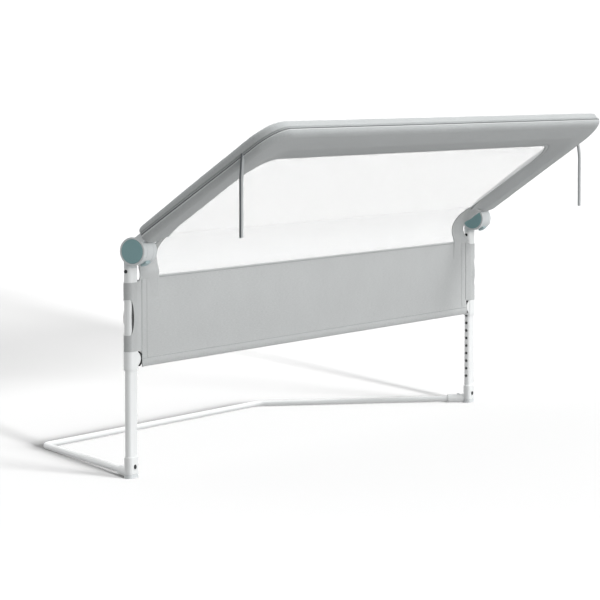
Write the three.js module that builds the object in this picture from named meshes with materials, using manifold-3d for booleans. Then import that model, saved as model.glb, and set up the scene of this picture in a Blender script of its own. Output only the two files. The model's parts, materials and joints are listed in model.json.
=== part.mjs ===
// Folding bed guard rail: two flat-oval posts on a bent steel base bar, a cloth skirt between the
// posts, and a padded mesh guard that swings outward on two barrel hinges with release buttons.
// Millimetres, +Z up, the length of the rail along X, the bed on the +Y side.
import * as THREE from "three";
import { mergeVertices } from "three/addons/utils/BufferGeometryUtils.js";
import Module from "manifold-3d";

const wasm = await Module();
wasm.setup();

// Driving dimensions
const postSpacing = 1436; // between the axes of the two posts
const baseDepth = 368; // from the posts to the rear run of the base bar
const legInset = 295; // how far each leg runs inward before the rear run
const axisHeight = 402; // hinge axis above the floor
const axisForward = 16.5; // hinge axis in front of the post axis
const guardTilt = THREE.MathUtils.degToRad(54.7); // guard leaning outward from upright
const guardReach = 361; // hinge axis to the outer edge of the top bar
const armOverhang = 27.5; // from a post's axis to the outer edge of the guard's arm
const guardHalfWidth = postSpacing / 2 + armOverhang;
const skirtDrop = 47.5; // from the hinge axis down to the top of the skirt
const skirtTop = axisHeight - skirtDrop;
const holePitch = 16.5; // step of the height holes
const holeCount = 10;

// Clearances
const fitGap = 0.3; // between pieces that seat in each other
const slideGap = 0.2; // between the two tubes of a post, each side
const overrun = 4; // how far a cutter runs past what it cuts

// Flat-oval post tubes
const lowerWidth = 30;
const lowerThick = 12.5;
const lowerWall = 1.1;
const upperWall = 0.8;
const upperInnerWidth = lowerWidth + 2 * slideGap;
const upperInnerThick = lowerThick + 2 * slideGap;
const upperWidth = upperInnerWidth + 2 * upperWall;
const upperThick = upperInnerThick + 2 * upperWall;
const latchHoleHeight = 207.3; // the hole that holds the guard at its highest setting

// Base bar
const barRadius = 6;
const barHeight = 9; // axis of the bar where it leaves a post bracket
const legAngle = Math.atan2(baseDepth, legInset);
const legSlope = Math.atan2(barHeight - barRadius, baseDepth);

// Hinge barrel
const barrelRadius = 25;
const barrelHalf = 22; // half its length, along X
const knuckleHalf = 10.6;
const axleRadius = 4;

// Frame tube inside the guard
const frameWidth = 30;
const frameThick = 15;
const frameWall = 1.2;
const frameMid = 9.8; // its axis, behind the hinge axis when upright

// Padded cover of the guard
const coverBack = 27; // bed side face, measured like frameMid
const coverFront = -2.5; // outer side face
const coverBand = 97; // width of the cover, from its outer edge to the window
const outerCorner = 53;
const windowCorner = 62;
const coverStart = 33; // where the cover begins, from the hinge axis
const seamLevel = 11.7; // the perimeter seam, measured like frameMid

// Mesh of the guard
const meshThick = 1.6;
const meshLevel = 9.9; // its outer face, measured like frameMid

const finish = (color, roughness, metalness) =>
  new THREE.MeshStandardMaterial({ color, roughness, metalness });
const coatedSteel = finish(0xe6e8e8, 0.42, 0.15);
const whitePlastic = finish(0xeceeee, 0.5, 0);
const palePlastic = finish(0xd9dcdc, 0.5, 0);
const tealPlastic = finish(0x61797c, 0.55, 0);
const paleTealPlastic = finish(0xa6babc, 0.5, 0);
const blackPlastic = finish(0x1d1f20, 0.5, 0);
const darkSteel = finish(0x2b2d2e, 0.4, 0.8);
const bareSteel = finish(0xa9acae, 0.35, 0.9);
const bareAluminium = finish(0xc2c5c7, 0.4, 0.85);
const greyCloth = finish(0xb9bcbd, 0.95, 0);
const guardCloth = finish(0x9b9fa1, 0.95, 0);
const whiteMesh = finish(0xf3f4f4, 0.9, 0);

// Solids: joining, cutting and reading back

const weldTolerance = 1e-3;

function solid(geometry) {
  const bare = geometry.clone();
  bare.deleteAttribute("normal");
  bare.deleteAttribute("uv");
  const welded = mergeVertices(bare, weldTolerance);
  const positions = welded.getAttribute("position").array;
  const index = welded.getIndex().array;
  return new wasm.Manifold(
    new wasm.Mesh({
      numProp: 3,
      vertProperties: Float32Array.from(positions),
      triVerts: Uint32Array.from(index),
    }),
  );
}

function asGeometry(manifold) {
  const mesh = manifold.getMesh();
  const geometry = new THREE.BufferGeometry();
  geometry.setAttribute("position", new THREE.BufferAttribute(Float32Array.from(mesh.vertProperties), 3));
  geometry.setIndex(Array.from(mesh.triVerts));
  geometry.computeVertexNormals();
  return geometry;
}

function joined(...geometries) {
  const [first, ...rest] = geometries.map(solid);
  return asGeometry(rest.reduce((sum, next) => sum.add(next), first));
}

function cut(geometry, ...cutters) {
  return asGeometry(cutters.map(solid).reduce((left, cutter) => left.subtract(cutter), solid(geometry)));
}

// Prisms along the three axes

const roundSteps = 8; // facets in a half circle of a small outline

function prism(shape, low, high, curveSegments = roundSteps) {
  const geometry = new THREE.ExtrudeGeometry(shape, { depth: high - low, bevelEnabled: false, curveSegments });
  return geometry.translate(0, 0, low);
}

// the outline is drawn in X and Y, and the prism runs up from low to high
const upright = prism;

// the outline is drawn in Y and Z, and the prism runs along X
const turnToX = new THREE.Matrix4().set(0, 0, 1, 0, 1, 0, 0, 0, 0, 1, 0, 0, 0, 0, 0, 1);
const alongX = (shape, low, high, steps) => prism(shape, low, high, steps).applyMatrix4(turnToX);

// the outline is drawn in X and Z, and the prism runs along Y
const turnToY = new THREE.Matrix4().makeRotationX(Math.PI / 2);
const alongY = (shape, low, high, steps) => prism(shape, -high, -low, steps).applyMatrix4(turnToY);

const block = (x0, x1, y0, y1, z0, z1) =>
  new THREE.BoxGeometry(x1 - x0, y1 - y0, z1 - z0).translate((x0 + x1) / 2, (y0 + y1) / 2, (z0 + z1) / 2);

// Outlines

function flatOval(width, thick) {
  const radius = Math.min(width, thick) / 2;
  const run = Math.max(width, thick) / 2 - radius;
  const shape = new THREE.Shape();
  if (width >= thick) {
    shape.absarc(run, 0, radius, -Math.PI / 2, Math.PI / 2);
    shape.absarc(-run, 0, radius, Math.PI / 2, (3 * Math.PI) / 2);
  } else {
    shape.absarc(0, run, radius, 0, Math.PI);
    shape.absarc(0, -run, radius, Math.PI, 2 * Math.PI);
  }
  return shape;
}

function ovalTube(width, thick, wall) {
  const shape = flatOval(width, thick);
  shape.holes.push(flatOval(width - 2 * wall, thick - 2 * wall));
  return shape;
}

function disc(radius, x = 0, y = 0) {
  const shape = new THREE.Shape();
  shape.absarc(x, y, radius, 0, 2 * Math.PI);
  return shape;
}

function roundedBox(x0, x1, y0, y1, radius) {
  const shape = new THREE.Shape();
  shape.absarc(x1 - radius, y1 - radius, radius, 0, Math.PI / 2);
  shape.absarc(x0 + radius, y1 - radius, radius, Math.PI / 2, Math.PI);
  shape.absarc(x0 + radius, y0 + radius, radius, Math.PI, (3 * Math.PI) / 2);
  shape.absarc(x1 - radius, y0 + radius, radius, (3 * Math.PI) / 2, 2 * Math.PI);
  return shape;
}

const holeSteps = 6; // facets in a half circle of a screw or pin hole
const barrelSteps = 20; // facets in a half circle of the barrel

const pinAlongX = (radius, x0, x1, y, z) => alongX(disc(radius, y, z), x0, x1, holeSteps);
const pinAlongY = (radius, y0, y1, x, z) => alongY(disc(radius, x, z), y0, y1, holeSteps);
const pinUpright = (radius, z0, z1, x, y) => upright(disc(radius, x, y), z0, z1, holeSteps);

// A path that is sampled at its own stations, so that bends are fine and straight runs are coarse

class StationPath extends THREE.Curve {
  constructor(stations) {
    super();
    this.stations = stations;
  }

  getPoint(share, target = new THREE.Vector3()) {
    const last = this.stations.length - 1;
    const place = Math.min(Math.max(share, 0), 1) * last;
    const before = Math.min(Math.floor(place), last - 1);
    return target.lerpVectors(this.stations[before], this.stations[before + 1], place - before);
  }

  getUtoTmapping(share) {
    return share;
  }
}

function tubeAlong(shape, stations, curveSegments = roundSteps) {
  const extrudePath = new StationPath(stations);
  return new THREE.ExtrudeGeometry(shape, { steps: stations.length - 1, extrudePath, curveSegments });
}

// the points of a bend from one direction to another, in the plane given by the two unit vectors
function bend(centre, radius, from, to, count, across, up) {
  return Array.from({ length: count + 1 }, (_, step) => {
    const angle = from + ((to - from) * step) / count;
    return centre
      .clone()
      .addScaledVector(across, radius * Math.cos(angle))
      .addScaledVector(up, radius * Math.sin(angle));
  });
}

// A closed skin over a row of rings, each with the same number of points

function skin(rings) {
  const count = rings[0].length;
  const points = rings.flat();
  const middle = (ring) =>
    ring.reduce((sum, point) => sum.add(point), new THREE.Vector3()).divideScalar(count);
  const firstMiddle = points.push(middle(rings[0])) - 1;
  const lastMiddle = points.push(middle(rings[rings.length - 1])) - 1;
  const lastStart = (rings.length - 1) * count;
  const index = [];
  for (let i = 0; i < count; i += 1) {
    const next = (i + 1) % count;
    index.push(firstMiddle, next, i);
    index.push(lastMiddle, lastStart + i, lastStart + next);
    for (let row = 0; row < rings.length - 1; row += 1) {
      const here = row * count;
      const ahead = here + count;
      index.push(here + i, here + next, ahead + next);
      index.push(here + i, ahead + next, ahead + i);
    }
  }
  const geometry = new THREE.BufferGeometry().setFromPoints(points);
  geometry.setIndex(index);
  if (signedVolume(geometry) < 0) {
    index.reverse();
    geometry.setIndex(index);
  }
  geometry.computeVertexNormals();
  return geometry;
}

function signedVolume(geometry) {
  const position = geometry.getAttribute("position");
  const index = geometry.getIndex().array;
  const corners = [new THREE.Vector3(), new THREE.Vector3(), new THREE.Vector3()];
  let volume = 0;
  for (let i = 0; i < index.length; i += 3) {
    corners.forEach((corner, k) => corner.fromBufferAttribute(position, index[i + k]));
    volume += corners[0].dot(corners[1].clone().cross(corners[2])) / 6;
  }
  return volume;
}

function piece(name, geometry, material) {
  const mesh = new THREE.Mesh(geometry, material);
  mesh.name = name;
  return mesh;
}

// Base bar: one round steel bar, bent twice in its plane, with a pocket at each end for its snap button

const legBend = 35; // bend radius on the bar's axis
const bendSteps = 6;
const barSideSteps = 7;
const barStart = 16.3; // end of the bar, along the leg from the post axis
const snapPlace = 23.5; // snap button, along the leg from the post axis
const snapRadius = 3;
const snapTravel = 2;
const snapLow = -0.5; // foot of the snap button, from the bar's axis
const snapProud = 2.2; // above the bracket's stub

const legCos = Math.cos(legAngle);
const legSin = Math.sin(legAngle);
const postX = postSpacing / 2;

// a point in the bar's plane, so far along the right-hand leg from the post axis
const alongLeg = (distance) => new THREE.Vector3(-distance * legCos, distance * legSin, 0);

function baseBarGeometry() {
  const right = new THREE.Vector3(1, 0, 0);
  const back = new THREE.Vector3(0, 1, 0);
  const cornerX = postX - legInset;
  const tangent = legBend * Math.tan(legAngle / 2);
  const centre = new THREE.Vector3(cornerX - tangent, baseDepth - legBend, 0);
  const turn = Math.PI / 2 - legAngle;
  const rightHalf = [
    alongLeg(barStart).add(new THREE.Vector3(postX, 0, 0)),
    ...bend(centre, legBend, turn, Math.PI / 2, bendSteps, right, back),
  ];
  const leftHalf = rightHalf.map((point) => new THREE.Vector3(-point.x, point.y, point.z)).reverse();
  const bar = tubeAlong(disc(barRadius), [...rightHalf, ...leftHalf], barSideSteps);
  const pocketLow = snapLow - snapTravel - 2 * fitGap;
  const pockets = [1, -1].map((side) => {
    const place = alongLeg(snapPlace);
    return pinUpright(snapRadius + fitGap, pocketLow, barRadius + overrun, side * (postX + place.x), place.y);
  });
  return cut(bar, ...pockets);
}

// Post bracket: a moulded socket for the lower post, with a stub that takes the end of the bar

const bracketWall = 1.6;
const bracketWidth = lowerWidth + 2 * bracketWall;
const bracketThick = lowerThick + 2 * bracketWall;
const bracketTop = 38;
const footHeight = 7;
const bracketFloor = 12; // top of the bracket's floor, which carries the lower post
const stubRadius = 8.7;
const stubLength = 48;
const stubFlare = 1.3; // extra radius where the stub joins the socket
const footPegWidth = 18;
const footPegThick = 6;
const footPegHeight = 4;
const bracketScrewHeight = 20;
const bracketScrewRadius = 2;
const bracketScrewHead = 4.2;
const bracketScrewCap = 2;
const bracketScrewReach = 4.5; // tip of the screw, in front of the post axis
const collarLip = 1.2; // chamfer on the rims of the bracket and the collar

// from the bar's own plane to the post, which stands on the floor
const barPlane = new THREE.Matrix4()
  .makeTranslation(0, 0, barHeight)
  .multiply(new THREE.Matrix4().makeRotationX(-legSlope));

// a round solid lying along the leg, between two distances from the post axis
function legRound(radius0, radius1, start, end, steps) {
  const geometry = new THREE.CylinderGeometry(radius1, radius0, end - start, 2 * steps);
  const middle = alongLeg((start + end) / 2);
  const heading = legAngle === 0 ? 0 : Math.PI / 2 - legAngle;
  return geometry.rotateZ(heading).translate(middle.x, middle.y, 0).applyMatrix4(barPlane);
}

// a flat-oval prism whose top rim is drawn in by a chamfer
function chamferedOval(width, thick, low, high, lip) {
  const rim = (inset, height) => {
    const outline = flatOval(width - 2 * inset, thick - 2 * inset);
    const points = outline.getPoints(roundSteps);
    points.pop();
    return points.map((point) => new THREE.Vector3(point.x, point.y, height));
  };
  return skin([rim(0, low), rim(0, high - lip), rim(lip, high)]);
}

function bracketGeometry() {
  const socket = chamferedOval(bracketWidth, bracketThick, footHeight + fitGap, bracketTop, collarLip);
  const stub = legRound(stubRadius + stubFlare, stubRadius, 0, stubLength, roundSteps);
  const snap = alongLeg(snapPlace);
  return cut(
    joined(socket, stub),
    block(-postX, postX, -baseDepth, baseDepth, -barHeight - overrun, 0),
    upright(flatOval(lowerWidth + 2 * slideGap, lowerThick + 2 * slideGap), bracketFloor, bracketTop + overrun),
    upright(flatOval(bracketWidth + 2 * fitGap, bracketThick + 2 * fitGap), -overrun, footHeight + fitGap),
    upright(flatOval(footPegWidth + 2 * fitGap, footPegThick + 2 * fitGap), 0, bracketFloor + fitGap),
    legRound(barRadius + fitGap, barRadius + fitGap, barStart - fitGap, stubLength + overrun, barSideSteps),
    pinUpright(snapRadius + fitGap, barHeight, barHeight + 2 * stubRadius, snap.x, snap.y),
    pinAlongY(bracketScrewRadius + fitGap, -bracketThick, 0, 0, bracketScrewHeight),
  );
}

function footGeometry() {
  const sole = upright(flatOval(bracketWidth, bracketThick), 0, footHeight);
  const peg = upright(flatOval(footPegWidth, footPegThick), footHeight / 2, footHeight + footPegHeight);
  return joined(sole, peg);
}

// a domed or flat-headed round pin, drawn as a profile turned about its own axis
function turned(profile, steps) {
  return new THREE.LatheGeometry(
    profile.map(([radius, height]) => new THREE.Vector2(radius, height)),
    steps,
  );
}

const screwSteps = 10;
const domeShare = 0.6; // radius of the flat top of a screw head or button, of its full radius

function bracketScrewGeometry() {
  const face = bracketThick / 2;
  const profile = [
    [0, -bracketScrewReach],
    [bracketScrewRadius, -bracketScrewReach],
    [bracketScrewRadius, -face],
    [bracketScrewHead, -face],
    [bracketScrewHead, -face - bracketScrewCap / 2],
    [bracketScrewHead * domeShare, -face - bracketScrewCap],
    [0, -face - bracketScrewCap],
  ].map(([radius, y]) => [radius, -y]);
  const geometry = turned(profile, screwSteps);
  return geometry.rotateX(Math.PI).translate(0, 0, bracketScrewHeight);
}

function snapButtonGeometry() {
  const low = barHeight + snapLow;
  const high = barHeight + stubRadius + snapProud;
  const profile = [
    [0, low],
    [snapRadius, low],
    [snapRadius, high - snapRadius * (1 - domeShare)],
    [snapRadius * domeShare, high],
    [0, high],
  ];
  const place = alongLeg(snapPlace);
  return turned(profile, screwSteps).rotateX(Math.PI / 2).translate(place.x, place.y, 0);
}

// Lower post: flat-oval steel tube with the height holes in its inner edge

const latchHoleRadius = 3.1;
const lowerPostLow = bracketFloor + fitGap;
const lowerPostRise = 4.7; // from the highest hole to the end of the tube
const lowerPostHigh = latchHoleHeight + lowerPostRise;

function lowerPostGeometry() {
  const tube = upright(ovalTube(lowerWidth, lowerThick, lowerWall), lowerPostLow, lowerPostHigh);
  const edge = -lowerWidth / 2;
  const holes = Array.from({ length: holeCount }, (_, k) =>
    pinAlongX(latchHoleRadius, edge - overrun, edge + lowerThick / 2, 0, latchHoleHeight - k * holePitch),
  );
  const screwHole = pinAlongY(bracketScrewRadius + fitGap, -lowerThick, 0, 0, bracketScrewHeight);
  return cut(tube, ...holes, screwHole);
}

// Upper post: the tube that slides over the lower post and carries the hinge

const collarDrop = 15.8; // from the latch's hole down to the foot of the collar
const collarBottom = latchHoleHeight - collarDrop;
const collarStep = 5.5; // from the foot of the collar to the end of the upper tube
const upperPostLow = collarBottom + collarStep + fitGap;
const postDrop = 30; // from the hinge axis down to the end of the upper post
const upperPostHigh = axisHeight - postDrop;
const latchPinRadius = 2.5;
const rivetDrop = 6; // from the end of the upper post down to the rivet
const postRivetHeight = upperPostHigh - rivetDrop;
const postRivetRadius = 2;

function upperPostGeometry() {
  const tube = upright(ovalTube(upperWidth, upperThick, upperWall), upperPostLow, upperPostHigh);
  return cut(
    tube,
    pinAlongX(latchPinRadius + fitGap, -upperWidth, 0, 0, latchHoleHeight),
    pinAlongX(postRivetRadius + fitGap, -upperWidth, upperWidth, 0, postRivetHeight),
  );
}

// Collar: moulded guide on the foot of the upper post, with a D-shaped boss that holds the latch pin

const collarWall = 1.2;
const collarHeight = 32.5;
const collarWidth = upperWidth + 2 * collarWall;
const collarThick = upperThick + 2 * collarWall;
const bossDepth = 7.3; // how far the boss stands out from the collar
const bossHalfHeight = 12.8;
const bossHalfThick = 6;
const bossMiddle = collarBottom + collarHeight - bossHalfHeight - collarLip;

function halfEllipse(x, z, depth, halfHeight) {
  const shape = new THREE.Shape();
  shape.moveTo(x, z - halfHeight);
  shape.absellipse(x, z, depth, halfHeight, (3 * Math.PI) / 2, Math.PI / 2, true);
  return shape;
}

function collarGeometry() {
  const top = collarBottom + collarHeight;
  const sleeve = chamferedOval(collarWidth, collarThick, collarBottom, top, collarLip / 2);
  const root = -collarWidth / 2 + collarThick / 2;
  const boss = alongY(
    halfEllipse(root, bossMiddle, bossDepth + collarThick / 2, bossHalfHeight),
    -bossHalfThick,
    bossHalfThick,
  );
  const tubeSeat = flatOval(upperWidth + 2 * slideGap, upperThick + 2 * slideGap);
  return cut(
    joined(sleeve, boss),
    upright(flatOval(upperInnerWidth, upperInnerThick), collarBottom - overrun, top + overrun),
    upright(tubeSeat, collarBottom + collarStep, top + overrun),
    pinAlongX(latchPinRadius + fitGap, -collarWidth - bossDepth, 0, 0, latchHoleHeight),
  );
}

// Height latch: a crescent pull that wraps the boss, with the pin that locks in a height hole

const latchRim = 4; // thickness of the crescent at its middle
const latchHalfThick = 6.5;
const latchGrip = 1.6; // finger groove in its back
const latchTravel = 2.5; // from drawn back, as it is placed here, to locked

function latchGeometry() {
  const root = -collarWidth / 2 + collarThick / 2;
  const inner = bossDepth + collarThick / 2 + fitGap;
  const outer = inner + latchRim;
  const crescent = cut(
    alongY(halfEllipse(root, bossMiddle, outer, bossHalfHeight + latchRim / 2), -latchHalfThick, latchHalfThick),
    alongY(
      halfEllipse(root, bossMiddle, inner, bossHalfHeight + fitGap),
      -latchHalfThick - overrun,
      latchHalfThick + overrun,
    ),
    block(-collarWidth / 2 - fitGap, collarWidth, -collarThick, collarThick, 0, axisHeight),
    pinAlongY(latchGrip, -collarThick, collarThick, root - outer, bossMiddle),
  );
  const tip = -lowerWidth / 2 + lowerWall;
  const pin = pinAlongX(latchPinRadius, root - inner - latchRim / 2, tip, 0, latchHoleHeight);
  return joined(crescent, pin).translate(-latchTravel, 0, 0);
}

// Knuckle: the fixed middle of the hinge barrel, plugged into the top of the upper post

const plugHeight = 10.8;
const shoulderHeight = 4.7;
const buttonAngle = THREE.MathUtils.degToRad(58); // below the horizontal, at the front
const buttonHalfWidth = 8; // along X
const buttonHalfHeight = 6.5; // round the barrel
const buttonProud = 3.5;
const buttonDepth = 10;
const buttonTravel = 3;
const buttonRound = 2.2;

// from the button's own frame, with its outward direction along X, to the barrel
const buttonFrame = new THREE.Matrix4()
  .makeTranslation(0, -axisForward, axisHeight)
  .multiply(new THREE.Matrix4().makeRotationX(buttonAngle))
  .multiply(new THREE.Matrix4().makeRotationZ(-Math.PI / 2));

function knuckleGeometry() {
  const shoulderLow = upperPostHigh + fitGap;
  const shoulderHigh = shoulderLow + shoulderHeight;
  const plugLow = upperPostHigh - plugHeight;
  const round = alongX(disc(barrelRadius, -axisForward, axisHeight), -knuckleHalf, knuckleHalf, barrelSteps);
  const neck = block(-knuckleHalf, knuckleHalf, -upperThick / 2, upperThick / 2, shoulderLow, axisHeight);
  const shoulder = upright(flatOval(upperWidth, upperThick), shoulderLow, shoulderHigh);
  const plug = upright(flatOval(lowerWidth, lowerThick), plugLow, shoulderLow + shoulderHeight / 2);
  const floor = barrelRadius + buttonProud - buttonDepth - buttonTravel - fitGap;
  const pocket = block(
    floor,
    barrelRadius + overrun,
    -buttonHalfWidth - fitGap,
    buttonHalfWidth + fitGap,
    -buttonHalfHeight - fitGap,
    buttonHalfHeight + fitGap,
  ).applyMatrix4(buttonFrame);
  return cut(
    joined(round, neck, shoulder, plug),
    pinAlongX(axleRadius + fitGap, -barrelHalf, barrelHalf, -axisForward, axisHeight),
    pinAlongX(postRivetRadius + fitGap, -upperWidth, upperWidth, 0, postRivetHeight),
    pocket,
  );
}

// Release button: a rounded key in the knuckle, pressed toward the hinge axis

function releaseButtonGeometry() {
  const tip = barrelRadius + buttonProud;
  const outline = new THREE.Shape();
  outline.moveTo(tip - buttonDepth, -buttonHalfHeight);
  outline.absarc(tip - buttonRound, -buttonHalfHeight + buttonRound, buttonRound, -Math.PI / 2, 0);
  outline.absarc(tip - buttonRound, buttonHalfHeight - buttonRound, buttonRound, 0, Math.PI / 2);
  outline.lineTo(tip - buttonDepth, buttonHalfHeight);
  outline.closePath();
  return alongY(outline, -buttonHalfWidth, buttonHalfWidth, holeSteps).applyMatrix4(buttonFrame);
}

// Hinge axle, and the rivet that holds the knuckle in the upper post

const capSeat = 2; // depth of the seat of a barrel cap
const axleHalf = barrelHalf - capSeat - fitGap;
const rivetHead = 3.4;
const rivetCap = 1.3;

function axleGeometry() {
  return pinAlongX(axleRadius, -axleHalf, axleHalf, -axisForward, axisHeight);
}

function postRivetGeometry() {
  const face = upperWidth / 2 + fitGap / 2;
  const profile = [
    [0, -face - rivetCap],
    [rivetHead * domeShare, -face - rivetCap],
    [rivetHead, -face - rivetCap / 2],
    [rivetHead, -face],
    [postRivetRadius, -face],
    [postRivetRadius, face],
    [rivetHead, face],
    [rivetHead, face + rivetCap / 2],
    [rivetHead * domeShare, face + rivetCap],
    [0, face + rivetCap],
  ];
  return turned(profile, screwSteps).rotateZ(-Math.PI / 2).translate(0, 0, postRivetHeight);
}

// Sleeve of the skirt round an upper post, with the oval cut-out on its outer edge

const clothThick = 1.2;
const sleeveBottom = collarBottom + collarHeight + fitGap;
const sleeveDrop = 26; // from the end of the upper post down to the top of the sleeve
const sleeveTop = upperPostHigh - sleeveDrop;
const cutShares = [0.236, 0.754]; // ends of the cut-out, along the sleeve
const cutEdge = 5; // inner side of the cut-out, outward of the post axis
const cutRound = 10;
const sleeveWidth = upperWidth + 2 * (slideGap + clothThick);
const sleeveThick = upperThick + 2 * (slideGap + clothThick);

function sleeveGeometry() {
  const tube = upright(ovalTube(sleeveWidth, sleeveThick, clothThick), sleeveBottom, sleeveTop);
  const [low, high] = cutShares.map((share) => THREE.MathUtils.lerp(sleeveBottom, sleeveTop, share));
  const window = roundedBox(cutEdge, sleeveWidth, low, high, cutRound);
  return cut(tube, alongY(window, -sleeveThick, sleeveThick, holeSteps));
}

// Skirt: the cloth panel between the two sleeves

const skirtThick = 2.4;
const skirtLift = 3.5; // from the foot of the collar up to the bottom of the skirt
const skirtBottom = collarBottom + skirtLift;
const skirtNotch = 46; // from the post axis to the lower corner of the panel
const skirtNotchTop = 28; // from the post axis to the top of the slanted corner

function skirtGeometry() {
  const edge = postX - sleeveWidth / 2 - fitGap;
  const shape = new THREE.Shape();
  shape.moveTo(-(postX - skirtNotch), skirtBottom);
  shape.lineTo(postX - skirtNotch, skirtBottom);
  shape.lineTo(postX - skirtNotchTop, sleeveBottom);
  shape.lineTo(edge, sleeveBottom);
  shape.lineTo(edge, skirtTop);
  shape.lineTo(-edge, skirtTop);
  shape.lineTo(-edge, sleeveBottom);
  shape.lineTo(-(postX - skirtNotchTop), sleeveBottom);
  return alongY(shape, -skirtThick / 2, skirtThick / 2);
}

// Mesh fold and corner bands: the soft strip that joins the guard to the skirt across the hinge line

const bandGap = 28.3; // from a post's axis to the outer edge of a corner band
const bandWidest = 64; // width of a corner band just above the skirt
const bandThick = 2.4;
const foldSag = 1.5; // how far the strip stands in front of the skirt just below the hinge's height
const foldKnee = 4; // where the strip has come into the guard's plane, from the hinge axis
const meshEdge = guardHalfWidth - coverBand - fitGap;

// a place in the rail's frame, from a place in the guard's own frame
function fromGuard(level, along) {
  return new THREE.Vector2(
    -axisForward + level * Math.cos(guardTilt) - along * Math.sin(guardTilt),
    axisHeight + level * Math.sin(guardTilt) + along * Math.cos(guardTilt),
  );
}

// the path, as shares of the rise from the skirt to the hinge's height
const sagRiseShares = [0.45, 0.9];

function foldPath() {
  const level = meshLevel + meshThick / 2;
  const rise = axisHeight - skirtTop;
  return new THREE.SplineCurve([
    new THREE.Vector2(0, skirtTop + fitGap),
    ...sagRiseShares.map((share) => new THREE.Vector2(-foldSag * share, skirtTop + rise * share)),
    fromGuard(level, foldKnee),
    fromGuard(level, coverStart - fitGap),
  ]);
}

// a strip along the fold path, between two edges that may change along it
function foldStrip(thick, innerEdge, outerEdge) {
  const path = foldPath();
  const rings = foldShares.map((share) => {
    const middle = path.getPointAt(share);
    const along = path.getTangentAt(share);
    const offset = new THREE.Vector2(-along.y, along.x).multiplyScalar(thick / 2);
    const low = middle.clone().sub(offset);
    const high = middle.clone().add(offset);
    const inner = innerEdge(share);
    const outer = outerEdge(share);
    return [
      new THREE.Vector3(inner, low.x, low.y),
      new THREE.Vector3(outer, low.x, low.y),
      new THREE.Vector3(outer, high.x, high.y),
      new THREE.Vector3(inner, high.x, high.y),
    ];
  });
  return skin(rings);
}

// a corner band's width at even steps along the path, as shares of its widest
const bandWidthShares = [0.97, 1, 0.99, 0.95, 0.9, 0.86, 0.83, 0.75, 0.66];
const bandSeam = 1; // between the mesh and a band, along X
const bandSteps = 14;
const bandOuter = postX - bandGap;

const foldShares = Array.from({ length: bandSteps + 1 }, (_, step) => step / bandSteps);

function bandEdge(share) {
  const place = share * (bandWidthShares.length - 1);
  const before = Math.min(Math.floor(place), bandWidthShares.length - 2);
  const widthShare = THREE.MathUtils.lerp(bandWidthShares[before], bandWidthShares[before + 1], place - before);
  return bandOuter - bandWidest * widthShare;
}

const foldEdge = (share) => bandEdge(share) - bandSeam;

const meshFoldGeometry = () => foldStrip(meshThick, (share) => -foldEdge(share), foldEdge);
const cornerBandGeometry = () => foldStrip(bandThick, bandEdge, () => bandOuter);

// Everything below is in the guard's own frame: X along the hinge axis, Y toward the bed and Z up
// the guard when it stands upright, measured from the hinge axis

// Hinge arm: the two cheeks of the barrel, the bridge between them and the plug in the frame tube

const neckHalf = 21; // half width of the arm between the barrel and the cover
const bridgeLow = 31; // the bridge stays clear of the release button as it passes
const plugStart = 60;
const plugEnd = 85;
const neckThick = frameThick - slideGap;

function hingeArmGeometry() {
  const neckBack = frameMid + neckThick / 2;
  const neckFront = frameMid - neckThick / 2;
  const cheek = alongX(disc(barrelRadius), -barrelHalf, barrelHalf, barrelSteps);
  const neck = block(-neckHalf, neckHalf, neckFront, neckBack, 0, coverStart - fitGap);
  const stem = upright(flatOval(frameWidth, neckThick), bridgeLow, plugStart).translate(0, frameMid, 0);
  const inner = flatOval(frameWidth - 2 * (frameWall + fitGap), frameThick - 2 * (frameWall + fitGap));
  const plug = upright(inner, plugStart - overrun, plugEnd).translate(0, frameMid, 0);
  const slotHalf = knuckleHalf + fitGap + slideGap;
  const seatRadius = barrelRadius - barrelRim;
  return cut(
    joined(cheek, neck, stem, plug),
    block(-slotHalf, slotHalf, -2 * barrelRadius, 2 * barrelRadius, -2 * barrelRadius, bridgeLow),
    pinAlongX(axleRadius + fitGap, -barrelHalf, barrelHalf, 0, 0),
    alongX(disc(seatRadius), barrelHalf - capSeat, barrelHalf + overrun, barrelSteps),
    alongX(disc(seatRadius), -barrelHalf - overrun, capSeat - barrelHalf, barrelSteps),
  );
}

// Barrel cap: a disc with a rounded rim, pressed into the end of the barrel

const barrelRim = 3.2;
const capProud = 0.9;
const capRound = 0.7;

function capGeometry(side) {
  const radius = barrelRadius - barrelRim - fitGap;
  const back = barrelHalf - capSeat + fitGap;
  const face = barrelHalf + capProud;
  const profile = [
    [0, back],
    [radius, back],
    [radius, face - capRound],
    [radius - capRound, face],
    [0, face],
  ];
  const geometry = turned(profile, 2 * barrelSteps).rotateZ(-Math.PI / 2);
  return side > 0 ? geometry : geometry.rotateZ(Math.PI);
}

// Guard frame: one flat-oval aluminium tube bent into an upside-down U

const frameBend = 55.5;
const frameBendSteps = 6;
const frameTop = guardReach - armOverhang;

function guardFrameGeometry() {
  const right = new THREE.Vector3(1, 0, 0);
  const up = new THREE.Vector3(0, 0, 1);
  const centre = new THREE.Vector3(postX - frameBend, frameMid, frameTop - frameBend);
  const rightHalf = [
    new THREE.Vector3(postX, frameMid, plugStart + fitGap),
    ...bend(centre, frameBend, 0, Math.PI / 2, frameBendSteps, right, up),
  ];
  const leftHalf = rightHalf.map((point) => new THREE.Vector3(-point.x, point.y, point.z)).reverse();
  return tubeAlong(ovalTube(frameThick, frameWidth, frameWall), [...rightHalf, ...leftHalf], holeSteps);
}

// Guard cover: a padded sleeve over the frame, firm and rounded outside, flat toward the window.
// Its section is drawn from the outer edge inward, against the level from outer side to bed side.

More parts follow.
